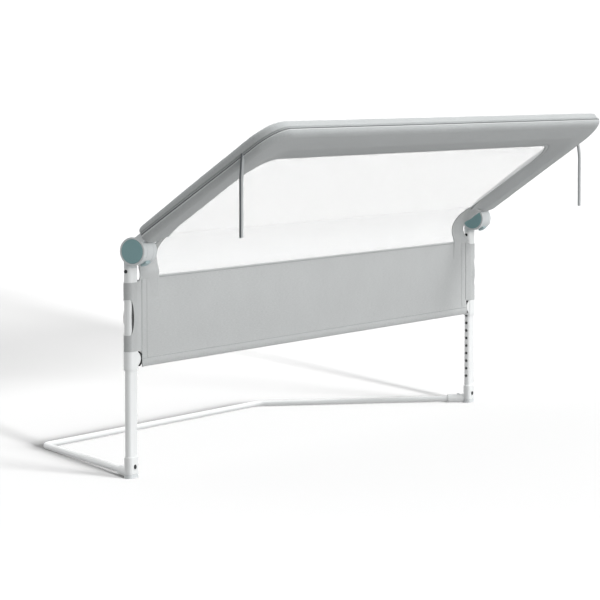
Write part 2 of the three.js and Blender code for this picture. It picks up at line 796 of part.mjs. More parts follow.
const coverCornerSteps = 8;
const backRound = 9;
const backRoundShares = [[1, 0], [0.3, 0.28], [0, 1]]; // inward, and down from the bed side face
const frontSlope = 12.5; // from the outer edge to the crisp line of the front face
const frontSlopeShares = [[0.1, 0.35], [0.44, 0.735], [1, 1]]; // inward, and down from the seam
const seamGroove = 1.2;
const seamHalf = 1;
const padReach = 55.5; // from the outer edge to where the padding begins to thin toward the window
const windowHem = 0.6; // cloth on each side of the mesh at the edge of the window
const channelWall = 3.2;

// the outer and inner edges of the cover at one station round the guard
function coverStations() {
  const stations = [];
  const innerTop = guardReach - coverBand;
  const innerSide = guardHalfWidth - coverBand;
  stations.push({
    outer: new THREE.Vector2(guardHalfWidth, coverStart),
    inner: new THREE.Vector2(innerSide, coverStart),
  });
  for (let step = 0; step <= coverCornerSteps; step += 1) {
    const angle = ((Math.PI / 2) * step) / coverCornerSteps;
    const ray = new THREE.Vector2(Math.cos(angle), Math.sin(angle));
    const outer = new THREE.Vector2(guardHalfWidth - outerCorner, guardReach - outerCorner);
    const inner = new THREE.Vector2(innerSide - windowCorner, innerTop - windowCorner);
    stations.push({
      outer: outer.addScaledVector(ray, outerCorner),
      inner: inner.addScaledVector(ray, windowCorner),
    });
  }
  const mirrored = stations.map(({ outer, inner }) => ({
    outer: new THREE.Vector2(-outer.x, outer.y),
    inner: new THREE.Vector2(-inner.x, inner.y),
  }));
  return [...stations, ...mirrored.reverse()];
}

// a swept band whose section is a list of [distance inward, level]
function sweptBand(section, stations) {
  return skin(
    stations.map(({ outer, inner }) =>
      section.map(([distance, level]) => {
        const place = outer.clone().lerp(inner, distance / coverBand);
        return new THREE.Vector3(place.x, level, place.y);
      }),
    ),
  );
}

// the first and last stations moved down the arms, so that a cutter runs past the ends
function lengthened(stations) {
  const last = stations.length - 1;
  return stations.map((station, k) => {
    if (k !== 0 && k !== last) return station;
    const drop = (point) => new THREE.Vector2(point.x, point.y - overrun);
    return { outer: drop(station.outer), inner: drop(station.inner) };
  });
}

const slopeDrop = seamLevel - seamHalf - coverFront;
const guardCoverSection = [
  ...backRoundShares.map(([inward, down]) => [backRound * inward, coverBack - backRound * down]),
  [0, seamLevel + seamHalf],
  [seamGroove, seamLevel],
  [0, seamLevel - seamHalf],
  ...frontSlopeShares.map(([inward, down]) => [frontSlope * inward, seamLevel - seamHalf - slopeDrop * down]),
  [padReach, coverFront],
  [coverBand, meshLevel - windowHem],
  [coverBand, meshLevel + meshThick + windowHem],
  [padReach, coverBack],
];

function guardCoverGeometry() {
  const low = frameMid - frameThick / 2 - fitGap;
  const high = frameMid + frameThick / 2 + fitGap;
  const near = channelWall + slideGap;
  const channel = [
    [near + overrun / 2, high],
    [near, high - overrun],
    [near, seamLevel - channelWall],
    [2 * channelWall, low + overrun / 2],
    [3 * channelWall, low],
    [padReach - channelWall, low],
    [padReach - channelWall, high],
  ];
  const stations = coverStations();
  return cut(sweptBand(guardCoverSection, stations), sweptBand(channel, lengthened(stations)));
}

// Mesh panel in the window of the guard

function meshPanelGeometry() {
  const top = guardReach - coverBand - fitGap;
  const radius = windowCorner - fitGap;
  const shape = new THREE.Shape();
  shape.moveTo(-meshEdge, coverStart + fitGap);
  shape.lineTo(meshEdge, coverStart + fitGap);
  shape.absarc(meshEdge - radius, top - radius, radius, 0, Math.PI / 2);
  shape.absarc(radius - meshEdge, top - radius, radius, Math.PI / 2, Math.PI);
  return alongY(shape, meshLevel, meshLevel + meshThick, coverCornerSteps);
}

// Hanging strap: a flat tape that comes out of the perimeter seam below a top corner and hangs
// straight down; its points are in the rail's frame, for the right-hand side

const strapWidth = 10;
const strapThick = 4;
const strapRoute = [
  [750.9, -239.8, 575],
  [751.1, -240.1, 571.5],
  [751.3, -240.4, 568],
  [751.7, -240.7, 564],
  [752.1, -241, 560],
  [752.5, -241.3, 556],
  [752.9, -241.5, 552],
  [753.5, -241.9, 543],
  [753.7, -242, 533],
  [753.7, -242, 518],
  [753.7, -242, 503],
  [753.7, -242, 488],
  [753.7, -242, 474],
  [753.7, -242, 460],
  [753.7, -242, 446],
  [753.7, -242, 432],
];

function strapGeometry() {
  const corner = strapThick / 4;
  const halfX = strapWidth / 2;
  const halfY = strapThick / 2;
  const section = new THREE.Shape();
  section.moveTo(-halfX + corner, -halfY);
  section.lineTo(halfX - corner, -halfY);
  section.lineTo(halfX, -halfY + corner);
  section.lineTo(halfX, halfY - corner);
  section.lineTo(halfX - corner, halfY);
  section.lineTo(-halfX + corner, halfY);
  section.lineTo(-halfX, halfY - corner);
  section.lineTo(-halfX, -halfY + corner);
  section.closePath();
  return tubeAlong(section, strapRoute.map(([x, y, z]) => new THREE.Vector3(x, y, z)));
}

// Assembly

const rail = new THREE.Group();

const base = new THREE.Group();
base.applyMatrix4(barPlane);
base.add(piece("base_bar", baseBarGeometry(), coatedSteel));
rail.add(base);

rail.add(piece("skirt_panel", skirtGeometry(), greyCloth));
rail.add(piece("mesh_fold", meshFoldGeometry(), whiteMesh));

const guard = new THREE.Group();
guard.position.set(0, -axisForward, axisHeight);
guard.rotation.x = guardTilt;
guard.add(piece("guard_frame_tube", guardFrameGeometry(), bareAluminium));
guard.add(piece("guard_cover", guardCoverGeometry(), guardCloth));
guard.add(piece("mesh_panel", meshPanelGeometry(), whiteMesh));
rail.add(guard);

const sides = [
  { side: "right", mirror: 1 },
  { side: "left", mirror: -1 },
];
for (const { side, mirror } of sides) {
  const post = new THREE.Group();
  post.position.x = mirror * postX;
  post.scale.x = mirror;
  post.add(piece(`${side}_base_bracket`, bracketGeometry(), whitePlastic));
  post.add(piece(`${side}_foot_cap`, footGeometry(), palePlastic));
  post.add(piece(`${side}_bracket_screw`, bracketScrewGeometry(), darkSteel));
  post.add(piece(`${side}_base_snap_button`, snapButtonGeometry(), bareSteel));
  post.add(piece(`${side}_lower_post`, lowerPostGeometry(), coatedSteel));
  post.add(piece(`${side}_upper_post`, upperPostGeometry(), coatedSteel));
  post.add(piece(`${side}_post_collar`, collarGeometry(), whitePlastic));
  post.add(piece(`${side}_height_latch`, latchGeometry(), blackPlastic));
  post.add(piece(`${side}_hinge_knuckle`, knuckleGeometry(), palePlastic));
  post.add(piece(`${side}_release_button`, releaseButtonGeometry(), paleTealPlastic));
  post.add(piece(`${side}_hinge_axle`, axleGeometry(), bareSteel));
  post.add(piece(`${side}_post_rivet`, postRivetGeometry(), darkSteel));
  post.add(piece(`${side}_skirt_sleeve`, sleeveGeometry(), greyCloth));
  rail.add(post);

  const arm = new THREE.Group();
  arm.position.x = mirror * postX;
  arm.scale.x = mirror;
  arm.add(piece(`${side}_hinge_arm`, hingeArmGeometry(), palePlastic));
  arm.add(piece(`${side}_outer_cap`, capGeometry(1), tealPlastic));
  arm.add(piece(`${side}_inner_cap`, capGeometry(-1), tealPlastic));
  guard.add(arm);

  const soft = new THREE.Group();
  soft.scale.x = mirror;
  soft.add(piece(`${side}_corner_band`, cornerBandGeometry(), greyCloth));
  soft.add(piece(`${side}_hanging_strap`, strapGeometry(), guardCloth));
  rail.add(soft);
}

// The origin is on the floor, in the middle of the whole rail
const box = new THREE.Box3().setFromObject(rail);
rail.position.y = -(box.min.y + box.max.y) / 2;

export default rail;
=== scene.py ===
import json
import math

import bmesh
import bpy
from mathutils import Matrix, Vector, geometry, noise

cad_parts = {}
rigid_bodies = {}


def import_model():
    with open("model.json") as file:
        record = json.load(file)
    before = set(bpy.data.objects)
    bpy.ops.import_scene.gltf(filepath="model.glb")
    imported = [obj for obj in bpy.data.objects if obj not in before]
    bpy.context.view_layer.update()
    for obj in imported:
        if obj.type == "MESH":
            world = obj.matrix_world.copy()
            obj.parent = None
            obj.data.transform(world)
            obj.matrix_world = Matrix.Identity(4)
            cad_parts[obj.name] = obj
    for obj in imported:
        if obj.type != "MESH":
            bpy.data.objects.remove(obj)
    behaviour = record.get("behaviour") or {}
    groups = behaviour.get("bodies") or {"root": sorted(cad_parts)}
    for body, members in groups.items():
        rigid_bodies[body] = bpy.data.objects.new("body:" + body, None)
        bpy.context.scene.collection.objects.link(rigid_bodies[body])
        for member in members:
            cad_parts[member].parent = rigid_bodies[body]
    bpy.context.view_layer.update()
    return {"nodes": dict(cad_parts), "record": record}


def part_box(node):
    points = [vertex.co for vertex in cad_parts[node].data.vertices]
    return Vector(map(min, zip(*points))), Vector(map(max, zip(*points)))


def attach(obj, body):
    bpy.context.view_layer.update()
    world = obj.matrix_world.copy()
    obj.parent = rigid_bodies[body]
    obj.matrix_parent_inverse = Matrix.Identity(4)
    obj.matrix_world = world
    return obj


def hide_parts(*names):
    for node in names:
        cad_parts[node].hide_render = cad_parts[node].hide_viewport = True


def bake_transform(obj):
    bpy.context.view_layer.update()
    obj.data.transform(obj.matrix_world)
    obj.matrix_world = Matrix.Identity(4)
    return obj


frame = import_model()

# Camera: low beside the left end of the rail and in front of it, looking along the guard with a
# long lens, as the photograph does.
post_line = sum(corner.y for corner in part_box("left_lower_post")) / 2
camera_turn = math.radians(62.3508)
camera_dip = math.radians(4.127)
level_share = math.cos(camera_dip)
look = Vector(
    (math.sin(camera_turn) * level_share, math.cos(camera_turn) * level_share, -math.sin(camera_dip))
)
camera = bpy.data.objects.new("camera", bpy.data.cameras.new("camera"))
camera.data.sensor_width = 36
camera.data.lens = 183.07
camera.data.clip_end = 300
camera.location = (-5.3239, post_line - 2.7495, 0.7015)
camera.rotation_euler = look.to_track_quat("-Z", "Y").to_euler()
bpy.context.scene.collection.objects.link(camera)
bpy.context.scene.camera = camera

# Hanging straps: flat woven tapes, one below each top corner of the guard. Each comes out of the
# guard's perimeter seam, turns down and hangs straight under its own weight, cut square at its end.
sides = (("left", -1), ("right", 1))
strap_width, strap_thick = 0.010, 0.004
strap_route_mm = [
    (744.5, -239.8, 575), (745.3, -240.1, 571.5), (746.2, -240.4, 568), (747.4, -240.7, 564),
    (748.6, -241, 560), (749.8, -241.3, 556), (750.8, -241.5, 552), (752.6, -241.9, 543),
    (753.7, -242, 533), (753.7, -242, 518), (753.7, -242, 503), (753.7, -242, 488),
    (753.7, -242, 474), (753.7, -242, 460), (753.7, -242, 446), (753.7, -242, 432),
]


def srgb(code):
    channels = [int(code[i:i + 2], 16) / 255 for i in (0, 2, 4)]
    return [c / 12.92 if c <= 0.04045 else ((c + 0.055) / 1.055) ** 2.4 for c in channels] + [1.0]


def clamp(value):
    return max(0.0, min(1.0, value))


def even_steps(low, high, count):
    return [low + (high - low) * k / count for k in range(count + 1)]


def mirrored_steps(half, count):
    """Even steps across, from -half to half."""
    return [half * (k / count - 1) for k in range(2 * count + 1)]


def heading_at(path, k):
    """The direction of a path at its point k."""
    return (path[min(k + 1, len(path) - 1)] - path[max(k - 1, 0)]).normalized()


def thicken(piece, thickness, offset=0):
    wall = piece.modifiers.new("thickness", "SOLIDIFY")
    wall.thickness, wall.offset = thickness, offset


def smooth_path(points, steps):
    """A smooth curve through the given points, with so many steps between each two."""
    ends = [points[0] * 2 - points[1]] + list(points) + [points[-1] * 2 - points[-2]]
    path = []
    for a, b, c, d in zip(ends, ends[1:], ends[2:], ends[3:]):
        for k in range(steps):
            t = k / steps
            path.append(
                ((b * 2) + (c - a) * t + (a * 2 - b * 5 + c * 4 - d) * t * t
                 + (b * 3 - a - c * 3 + d) * t * t * t) / 2
            )
    return path + [points[-1].copy()]


def travelled(points):
    """The distance along a path to each of its points."""
    travel = [0.0]
    for before, ahead in zip(points, points[1:]):
        travel.append(travel[-1] + (ahead - before).length)
    return travel


def link_object(name, content):
    piece = bpy.data.objects.new(name, content)
    bpy.context.scene.collection.objects.link(piece)
    return piece


def link_mesh(name, mesh, sharp=40):
    for face in mesh.polygons:
        face.use_smooth = True
    mesh.set_sharp_from_angle(angle=math.radians(sharp))
    return link_object(name, mesh)


def paint(piece, *finishes):
    for finish in finishes:
        piece.data.materials.append(finish)


def finished_mesh(piece):
    """A plain mesh of the piece, with its modifiers applied."""
    depsgraph = bpy.context.evaluated_depsgraph_get()
    return bpy.data.meshes.new_from_object(piece.evaluated_get(depsgraph), depsgraph=depsgraph)


def ring_piece(name, rings, round_closed=True, ends_closed=True, sharp=40):
    """A surface through rings of points, with a UV map in metres along and round it."""
    count = len(rings[0])
    rows = len(rings) - 1
    columns = count if round_closed else count - 1
    centres = [sum(ring, Vector()) / count for ring in rings]
    widest = max(rings, key=lambda ring: (ring[0] - ring[count // 2]).length)
    along, around = travelled(centres), travelled(widest + widest[:1])
    faces, uvs = [], []
    for row in range(rows):
        here, ahead = row * count, (row + 1) * count
        for i in range(columns):
            j = (i + 1) % count
            faces.append((here + i, here + j, ahead + j, ahead + i))
            uvs += [
                (along[row], around[i]), (along[row], around[i + 1]),
                (along[row + 1], around[i + 1]), (along[row + 1], around[i]),
            ]
    if ends_closed:
        for end, order in ((0, range(count - 1, -1, -1)), (rows, range(count))):
            faces.append(tuple(end * count + i for i in order))
            uvs += [(point.x, point.y + point.z) for point in (rings[end][i] for i in order)]
    mesh = bpy.data.meshes.new(name)
    mesh.from_pydata([point for ring in rings for point in ring], [], faces)
    layer = mesh.uv_layers.new(name="UVMap")
    layer.data.foreach_set("uv", [value for uv in uvs for value in uv])
    if round_closed:
        flip_to_outside(mesh)
    return link_mesh(name, mesh, sharp)


def flip_to_outside(mesh):
    shell = bmesh.new()
    shell.from_mesh(mesh)
    bmesh.ops.recalc_face_normals(shell, faces=shell.faces)
    shell.to_mesh(mesh)
    shell.free()


def new_finish(name, roughness, metallic=0.0):
    material = bpy.data.materials.new(name)
    material.use_nodes = True
    tree = material.node_tree
    shader = tree.nodes["Principled BSDF"]
    shader.inputs["Roughness"].default_value = roughness
    shader.inputs["Metallic"].default_value = metallic
    return material, tree, shader


def feed(tree, socket, value):
    """Give a socket a plain value or another node's output."""
    if isinstance(value, bpy.types.NodeSocket):
        tree.links.new(value, socket)
    else:
        socket.default_value = value


def add_node(tree, kind, **values):
    node = tree.nodes.new(kind)
    for key, value in values.items():
        if key in node.inputs:
            feed(tree, node.inputs[key], value)
        else:
            setattr(node, key, value)
    return node


def mix_two(tree, factor, first, second, blend="MIX"):
    node = add_node(tree, "ShaderNodeMix", data_type="RGBA", blend_type=blend)
    for socket, value in zip((0, 6, 7), (factor, first, second)):
        feed(tree, node.inputs[socket], value)
    return node.outputs[2]


def combine(tree, operation, first, second):
    node = add_node(tree, "ShaderNodeMath", operation=operation)
    feed(tree, node.inputs[0], first)
    feed(tree, node.inputs[1], second)
    return node.outputs[0]


def ramp(tree, source, low, high, start=0.0, end=1.0, kind="SMOOTHSTEP"):
    """A value from start to end while its source goes from low to high."""
    node = add_node(tree, "ShaderNodeMapRange", interpolation_type=kind, Value=source)
    for label, value in (("From Min", low), ("From Max", high), ("To Min", start), ("To Max", end)):
        node.inputs[label].default_value = value
    return node.outputs["Result"]


def object_noise(tree, scale, detail=2.0):
    """Noise on the piece's own place."""
    place = tree.nodes.new("ShaderNodeTexCoord").outputs["Object"]
    return add_node(tree, "ShaderNodeTexNoise", Vector=place, Scale=scale, Detail=detail).outputs["Fac"]


def add_bump(tree, shader, height, distance):
    bump = add_node(tree, "ShaderNodeBump", Height=height, Strength=1.0, Distance=distance)
    tree.links.new(bump.outputs["Normal"], shader.inputs["Normal"])


def two_toned(name, roughness, metallic, scale, dark, light):
    """A plain finish whose colour wanders between two tones."""
    material, tree, shader = new_finish(name, roughness, metallic)
    colour = mix_two(tree, object_noise(tree, scale), srgb(dark), srgb(light))
    tree.links.new(colour, shader.inputs["Base Color"])
    return material


wave_unit = 0.3142  # scale of a wave texture that repeats once a metre


def woven(name, dark, light, pitch, relief, twill=0.0, sheen=0.25):
    """Cloth woven at a pitch in metres, on the piece's own UV map: threads, slubs and mottle."""
    material, tree, shader = new_finish(name, 0.92)
    shader.inputs["Sheen Weight"].default_value = sheen
    shader.inputs["Sheen Roughness"].default_value = 0.5
    shader.inputs["Specular IOR Level"].default_value = 0.25
    place = tree.nodes.new("ShaderNodeUVMap").outputs["UV"]
    turned = add_node(tree, "ShaderNodeMapping", Vector=place, Rotation=(0, 0, twill)).outputs["Vector"]
    waves = [add_node(tree, "ShaderNodeTexWave", bands_direction=direction, Vector=turned,
                      Scale=wave_unit / pitch, Distortion=0.6).outputs["Fac"] for direction in ("X", "Y")]
    threads = combine(tree, "MULTIPLY", *waves)
    slub = add_node(tree, "ShaderNodeMapping", Vector=place, Scale=(900, 110, 1)).outputs["Vector"]
    yarn = add_node(tree, "ShaderNodeTexNoise", Vector=slub, Scale=1.0, Detail=2.0)
    mottle = add_node(tree, "ShaderNodeTexNoise", Vector=place, Scale=9.0, Detail=3.0)
    body = mix_two(tree, yarn.outputs["Fac"], srgb(dark), srgb(light))
    faded = mix_two(tree, mottle.outputs["Fac"], (0.93, 0.93, 0.93, 1), (1.05, 1.05, 1.05, 1))
    # The weave is painted darker between threads and lighter on them, as painted shade in the weave.
    shaded = mix_two(tree, threads, (0.84, 0.84, 0.84, 1), (1.08, 1.08, 1.08, 1))
    toned = mix_two(tree, 1.0, mix_two(tree, 1.0, body, faded, "MULTIPLY"), shaded, "MULTIPLY")
    tree.links.new(toned, shader.inputs["Base Color"])
    add_bump(tree, shader, threads, relief)
    return material


def tape_ring(centre, side, face):
    """Eight points of the tape's section about a centre, with its edges softened."""
    half, deep, cut = strap_width / 2, strap_thick / 2, strap_thick * 0.3
    outline = [
        (-half + cut, -deep), (half - cut, -deep), (half, -deep + cut), (half, deep - cut),
        (half - cut, deep), (-half + cut, deep), (-half, deep - cut), (-half, -deep + cut),
    ]
    return [centre + side * a + face * b for a, b in outline]


webbing = woven("strap_webbing", "a4a8a9", "c6c9ca", 0.0011, 0.0002, twill=0.7, sheen=0.15)
# The strap's outward side face is painted darker than its front, as painted shade.
strap_side_shade = woven("strap_selvedge", "5a5e5f", "72777a", 0.0011, 0.0002, twill=0.7, sheen=0.1)
for side, mirror in sides:
    points = [Vector((mirror * x, y, z)) / 1000 + Vector((0, post_line, 0)) for x, y, z in strap_route_mm]
    route = smooth_path(points, 2)
    rings = []
    for k, point in enumerate(route):
        heading = heading_at(route, k)
        face = heading.cross(Vector((1, 0, 0))).normalized()
        rings.append(tape_ring(point, face.cross(heading).normalized(), face))
    strap = ring_piece(f"{side}_strap_tape", rings, sharp=50)
    paint(strap, webbing, strap_side_shade)
    # Side faces that look outward along the rail take the painted shade.
    for face in strap.data.polygons:
        face.material_index = 1 if face.normal.x * mirror > 0.55 else 0
    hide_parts(f"{side}_hanging_strap")
    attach(strap, f"{side}_strap")

# Guard cover: a sewn cloth cover over firm foam and the bent frame tube. The padding is thick over
# the tube and thins toward the window, where both layers of cloth are sewn to the edge of the net.
# One piped seam runs all round the outer edge; its groove is in painted shade and the lip below it
# in a painted highlight.
guard_tilt = math.radians(54.7)
hinge_forward, hinge_height = 0.0165, 0.402
hinge = Vector((0, post_line - hinge_forward, hinge_height))
cover_half, cover_reach = 0.7455, 0.361
cover_band, outer_corner, window_corner = 0.097, 0.053, 0.062
cover_back, cover_front, seam_level, net_level = 0.0288, -0.0025, 0.0117, 0.0107
pad_reach, pad_crown, back_lip, front_rim = 0.052, 0.0008, 0.0014, 0.0131
rim_round, rim_out = 0.009, 0.0098
corner_ease, corner_spot, corner_spread = {1: 0.007, -1: -0.003}, 0.3, 0.03
cover_start, arm_end_round, arm_end_draw, arm_end_share = 0.0322, 0.014, 0.007, 0.72
arm_slim, arm_slim_run = 0.16, 0.16
arm_lip, arm_lip_run, arm_lip_middle, arm_lip_spread = 0.008, 0.06, 0.034, 0.024
arm_full_run, arm_full_level, arm_full_reach, arm_tip = 0.04, 0.0055, 0.02, 0.003
seam_lift, seam_lift_run, seam_lift_spread = 0.0034, 0.26, 0.0055
gather_height, gather_reach, soft_height, fine_height = 0.0004, 0.016, 0.0005, 0.00018
cord_foot, cord_top, lip_foot = 0.0087, 0.0100, 0.0062


def guard_point(across, level, along):
    """A place in the rail's frame, from one in the guard's: across it, toward the bed, outward."""
    return Vector((
        across,
        hinge.y + level * math.cos(guard_tilt) - along * math.sin(guard_tilt),
        hinge.z + level * math.sin(guard_tilt) + along * math.cos(guard_tilt),
    ))


def cover_stations():
    """Pairs of points on the outer and inner edges, from one arm's end to the other's."""
    arm_steps, corner_steps, top_steps = 40, 30, 62
    inner_side, inner_top = cover_half - cover_band, cover_reach - cover_band
    outer_high, inner_high = cover_reach - outer_corner, inner_top - window_corner
    outer_x, inner_x = cover_half - outer_corner, inner_side - window_corner
    shares = [0, 0.004, 0.011, 0.021, 0.034, 0.05]
    shares += [0.05 + 0.95 * k / arm_steps for k in range(1, arm_steps)]
    half = []
    for share in shares:
        outer_along = cover_start + share * (outer_high - cover_start)
        inner_along = cover_start + share * (inner_high - cover_start)
        half.append((Vector((cover_half, outer_along)), Vector((inner_side, inner_along))))
    for k in range(corner_steps + 1):
        angle = math.pi / 2 * k / corner_steps
        ray = Vector((math.cos(angle), math.sin(angle)))
        half.append((Vector((outer_x, outer_high)) + ray * outer_corner,
                     Vector((inner_x, inner_high)) + ray * window_corner))
    for k in range(1, top_steps):
        rest = 1 - k / top_steps
        half.append((Vector((outer_x * rest, cover_reach)), Vector((inner_x * rest, inner_top))))
    flip = [(Vector((-o.x, o.y)), Vector((-i.x, i.y))) for o, i in reversed(half)]
    return half + [(Vector((0, cover_reach)), Vector((0, inner_top)))] + flip


def cover_section():
    """Distances inward from the seam and levels, round the padding of a straight band."""
    points = []
    for share in even_steps(0, 1, 10):
        thin = math.sin(math.pi / 2 * share) * 0.4 + share * 0.6
        points.append((cover_band + (pad_reach - cover_band) * share,
                       net_level + back_lip + (cover_back - net_level - back_lip) * thin))
    for share in even_steps(0, 1, 8)[1:]:
        swell = pad_crown * (1 - (2 * share - 1) ** 2)
        points.append((pad_reach + (rim_round - pad_reach) * share, cover_back + swell))
    for k in range(1, 9):
        angle = math.pi / 2 * k / 8
        points.append((rim_round - rim_out * math.sin(angle),
                       cover_back - rim_round + rim_round * math.cos(angle)))
    points += [
        (-0.0010, 0.0165), (-0.0012, 0.0146), (-0.0010, 0.0132), (0.0002, 0.0122), (0.0016, seam_level),
        (-0.0004, 0.0114), (-0.0018, 0.0109), (-0.0022, 0.0103), (-0.0018, 0.0097), (-0.0004, 0.0092),
        (0.0016, 0.0090), (0.0000, 0.0086), (-0.0012, 0.0078), (-0.0013, 0.0072), (-0.0008, 0.0066),
    ]
    start, knee, stop = Vector((-0.0008, 0.0066)), Vector((0.0015, 0.0000)), Vector((0.0124, cover_front))
    for t in even_steps(0, 1, 6)[1:]:
        p = start * (1 - t) ** 2 + knee * 2 * t * (1 - t) + stop * t * t
        points.append((p.x, p.y))
    for share in even_steps(0, 1, 8):
        swell = pad_crown * 0.6 * (1 - (2 * share - 1) ** 2)
        points.append((front_rim + (pad_reach - front_rim) * share, cover_front - swell))
    hem = cover_band - 0.006
    for share in even_steps(0, 1, 10)[1:]:
        thin = share ** 1.12
        points.append((pad_reach + (hem - pad_reach) * share,
                       cover_front + (net_level - 0.0018 - cover_front) * thin))
    points += [(hem + 0.0006, net_level - 0.0010), (hem + 0.0012, net_level - 0.0016),
               (cover_band - 0.0012, net_level - 0.0014), (cover_band, net_level - 0.0006),
               (cover_band + 0.0002, net_level + 0.0004)]
    return points


cover_rings = []
section = cover_section()
for number, (outer, inner) in enumerate(cover_stations()):
    run = max(0.0, outer.y - cover_start)
    corner_place = cover_half - outer_corner * corner_spot
    corner_share = clamp(1 - abs(abs(outer.x) - corner_place) / corner_spread)
    near_corner = corner_share if outer.y > cover_reach - outer_corner * 1.4 else 0.0
    squeeze = math.sqrt(clamp(1 - (1 - clamp(run / arm_end_round)) ** 2))
    deep = arm_end_share + (1 - arm_end_share) * squeeze
    slim = 1 - arm_slim + arm_slim * clamp(run / arm_slim_run)
    ring = []
    for depth, level in section:
        outer_pad = max(0.0, 1 - depth / pad_reach)
        depth += (1 - squeeze) * arm_end_draw * outer_pad
        above = max(0.0, (level - seam_level) / (cover_back - seam_level))
        ease = corner_ease[1 if outer.x > 0 else -1]
        depth += near_corner * outer_pad * (ease * above + max(0.0, ease) * 0.3)
        lift = seam_lift * clamp(1 - run / seam_lift_run) * outer_pad ** 2
        level += lift * math.exp(-((level - seam_level) / seam_lift_spread) ** 2)
        if level > seam_level:
            level = seam_level + (level - seam_level) * slim
        level = net_level + (level - net_level) * deep
        flat = outer.lerp(inner, depth / cover_band)
        if level < seam_level:
            front_share = math.exp(-((depth - arm_lip_middle) / arm_lip_spread) ** 2)
            flat.y -= arm_lip * front_share * clamp(1 - run / arm_lip_run) ** 2
        if level < net_level and depth > pad_reach:
            full = clamp(1 - run / arm_full_run) ** 1.4
            full *= clamp((depth - pad_reach) / arm_full_reach)
            level += (min(level, arm_full_level) - level) * full
            flat.y -= arm_tip * full * (depth - pad_reach) / (cover_band - pad_reach)
        gather = math.sin(number * 2.1) * gather_height * near_corner
        gather *= math.exp(-abs(depth) / gather_reach)
        soft = noise.noise(Vector((flat.x * 14, flat.y * 14, level * 60))) * soft_height
        fine = noise.noise(Vector((flat.x * 60, flat.y * 60, level * 90 + 7))) * fine_height
        push = (gather + soft + fine) * clamp(abs(level - net_level) / 0.006)
        outward = 1 if level > net_level else -1
        ring.append(guard_point(flat.x, level + outward * push, flat.y))
    cover_rings.append(ring)
cover = ring_piece("guard_padding", cover_rings, sharp=55)
guard_cloth = woven("guard_cloth", "a9adae", "c9cccc", 0.0009, 0.00012)
piping_cloth = woven("piping_cloth", "7e8384", "989c9d", 0.0007, 0.00006)
lip_painted_highlight = woven("seam_lip_cloth", "cbcecf", "e4e6e6", 0.0008, 0.00008)
paint(cover, guard_cloth, piping_cloth, lip_painted_highlight)
# Along the seam, groove faces get painted shade and the lip faces below a painted highlight.
painted_seam_rows = {row: 1 if level > cord_foot else 2 for row, (depth, level) in enumerate(section)
             if depth < 0.003 and lip_foot < level < cord_top}
for face in cover.data.polygons:
    if len(face.vertices) == 4:
        rows_met = {corner % len(section) for corner in face.vertices}
        marks = [painted_seam_rows.get(row, 0) for row in rows_met]
        face.material_index = 0 if 0 in marks else min(marks)
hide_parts("guard_cover")
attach(cover, "guard")

# Skirt: one flat panel of the same cloth, stretched between the posts. Its bottom is turned up in a
# wide hem and its top in a narrow one, and each end is sewn down in two rows beside its sleeve.
skirt_cloth = woven("skirt_cloth", "b0b3b3", "cccece", 0.0009, 0.0001)
skirt_low, skirt_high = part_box("skirt_panel")
sleeve_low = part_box("right_skirt_sleeve")[0]
post_low, post_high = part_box("right_upper_post")
post_x = (post_low.x + post_high.x) / 2
sleeve_gap = 0.0009
sleeve_radius = (post_low.y + post_high.y) / 2 - post_low.y + sleeve_gap
skirt_forward, skirt_seam, skirt_thick = 0.0038, 0.6885, 0.0013
skirt_edge = skirt_seam + 0.0012
skirt_end_drop, skirt_end_run = 0.0035, 0.014
skirt_plane = post_line - skirt_forward
skirt_flap, skirt_flap_forward, skirt_flap_run, flap_top = 0.6908, 0.0024, 0.03, 0.004
ripple_height, ripple_reach, drawn_height = 0.0011, 0.62, 0.0003


def cloth_lean(across):
    """How far the sleeve's front stands before the skirt's, from the seam out to the post."""
    share = clamp((abs(across) - skirt_seam) / (post_x - 0.009 - skirt_seam))
    return (sleeve_radius - skirt_forward) * share


def skirt_half(height):
    """Half width of the panel at a height: below the sleeves it runs on as a flap before the latch."""
    if height >= sleeve_low.z + flap_top:
        return skirt_edge
    share = max(0.0, (skirt_low.z + 0.006 - height) / 0.006)
    return skirt_flap - 0.004 * share ** 2


def skirt_ripple(across, height):
    share = abs(across) / skirt_edge
    upright = (height - skirt_low.z) / (skirt_high.z - skirt_low.z)
    pull = noise.noise(Vector((across * 2.2, height * 11, 0.5))) * ripple_height
    pull *= 1 - clamp((abs(across) - ripple_reach) / 0.05)
    drawn = math.sin(height * 190 + across * 3) * drawn_height * max(0, 0.05 - abs(share - 0.91)) / 0.05
    flap = max(0.0, abs(across) - skirt_flap + skirt_flap_run) / skirt_flap_run
    flap *= clamp((sleeve_low.z + 0.002 - height) / 0.014)
    loose = min(1, 4 * upright * (1 - upright) + 0.35)
    return (pull + drawn) * loose - flap * skirt_flap_forward - cloth_lean(across)


def skirt_place(across, height, proud=0.0):
    """A place on the panel, whose top edge falls a little toward the sleeves."""
    fall = skirt_end_drop * clamp((abs(across) - skirt_edge + skirt_end_run) / skirt_end_run)
    fall *= max(0.0, (height - sleeve_low.z) / (skirt_high.z - sleeve_low.z))
    return Vector((across, skirt_plane + skirt_ripple(across, height) + proud, height - fall))


skirt_heights = even_steps(skirt_low.z, sleeve_low.z + 0.0038, 9)
skirt_heights += even_steps(sleeve_low.z + flap_top, skirt_high.z, 26)
skirt_rings = [[skirt_place(across, height) for across in mirrored_steps(skirt_half(height), 90)]
               for height in skirt_heights]
skirt = ring_piece("skirt_cloth_panel", skirt_rings, round_closed=False, ends_closed=False)
paint(skirt, skirt_cloth)
thicken(skirt, skirt_thick)


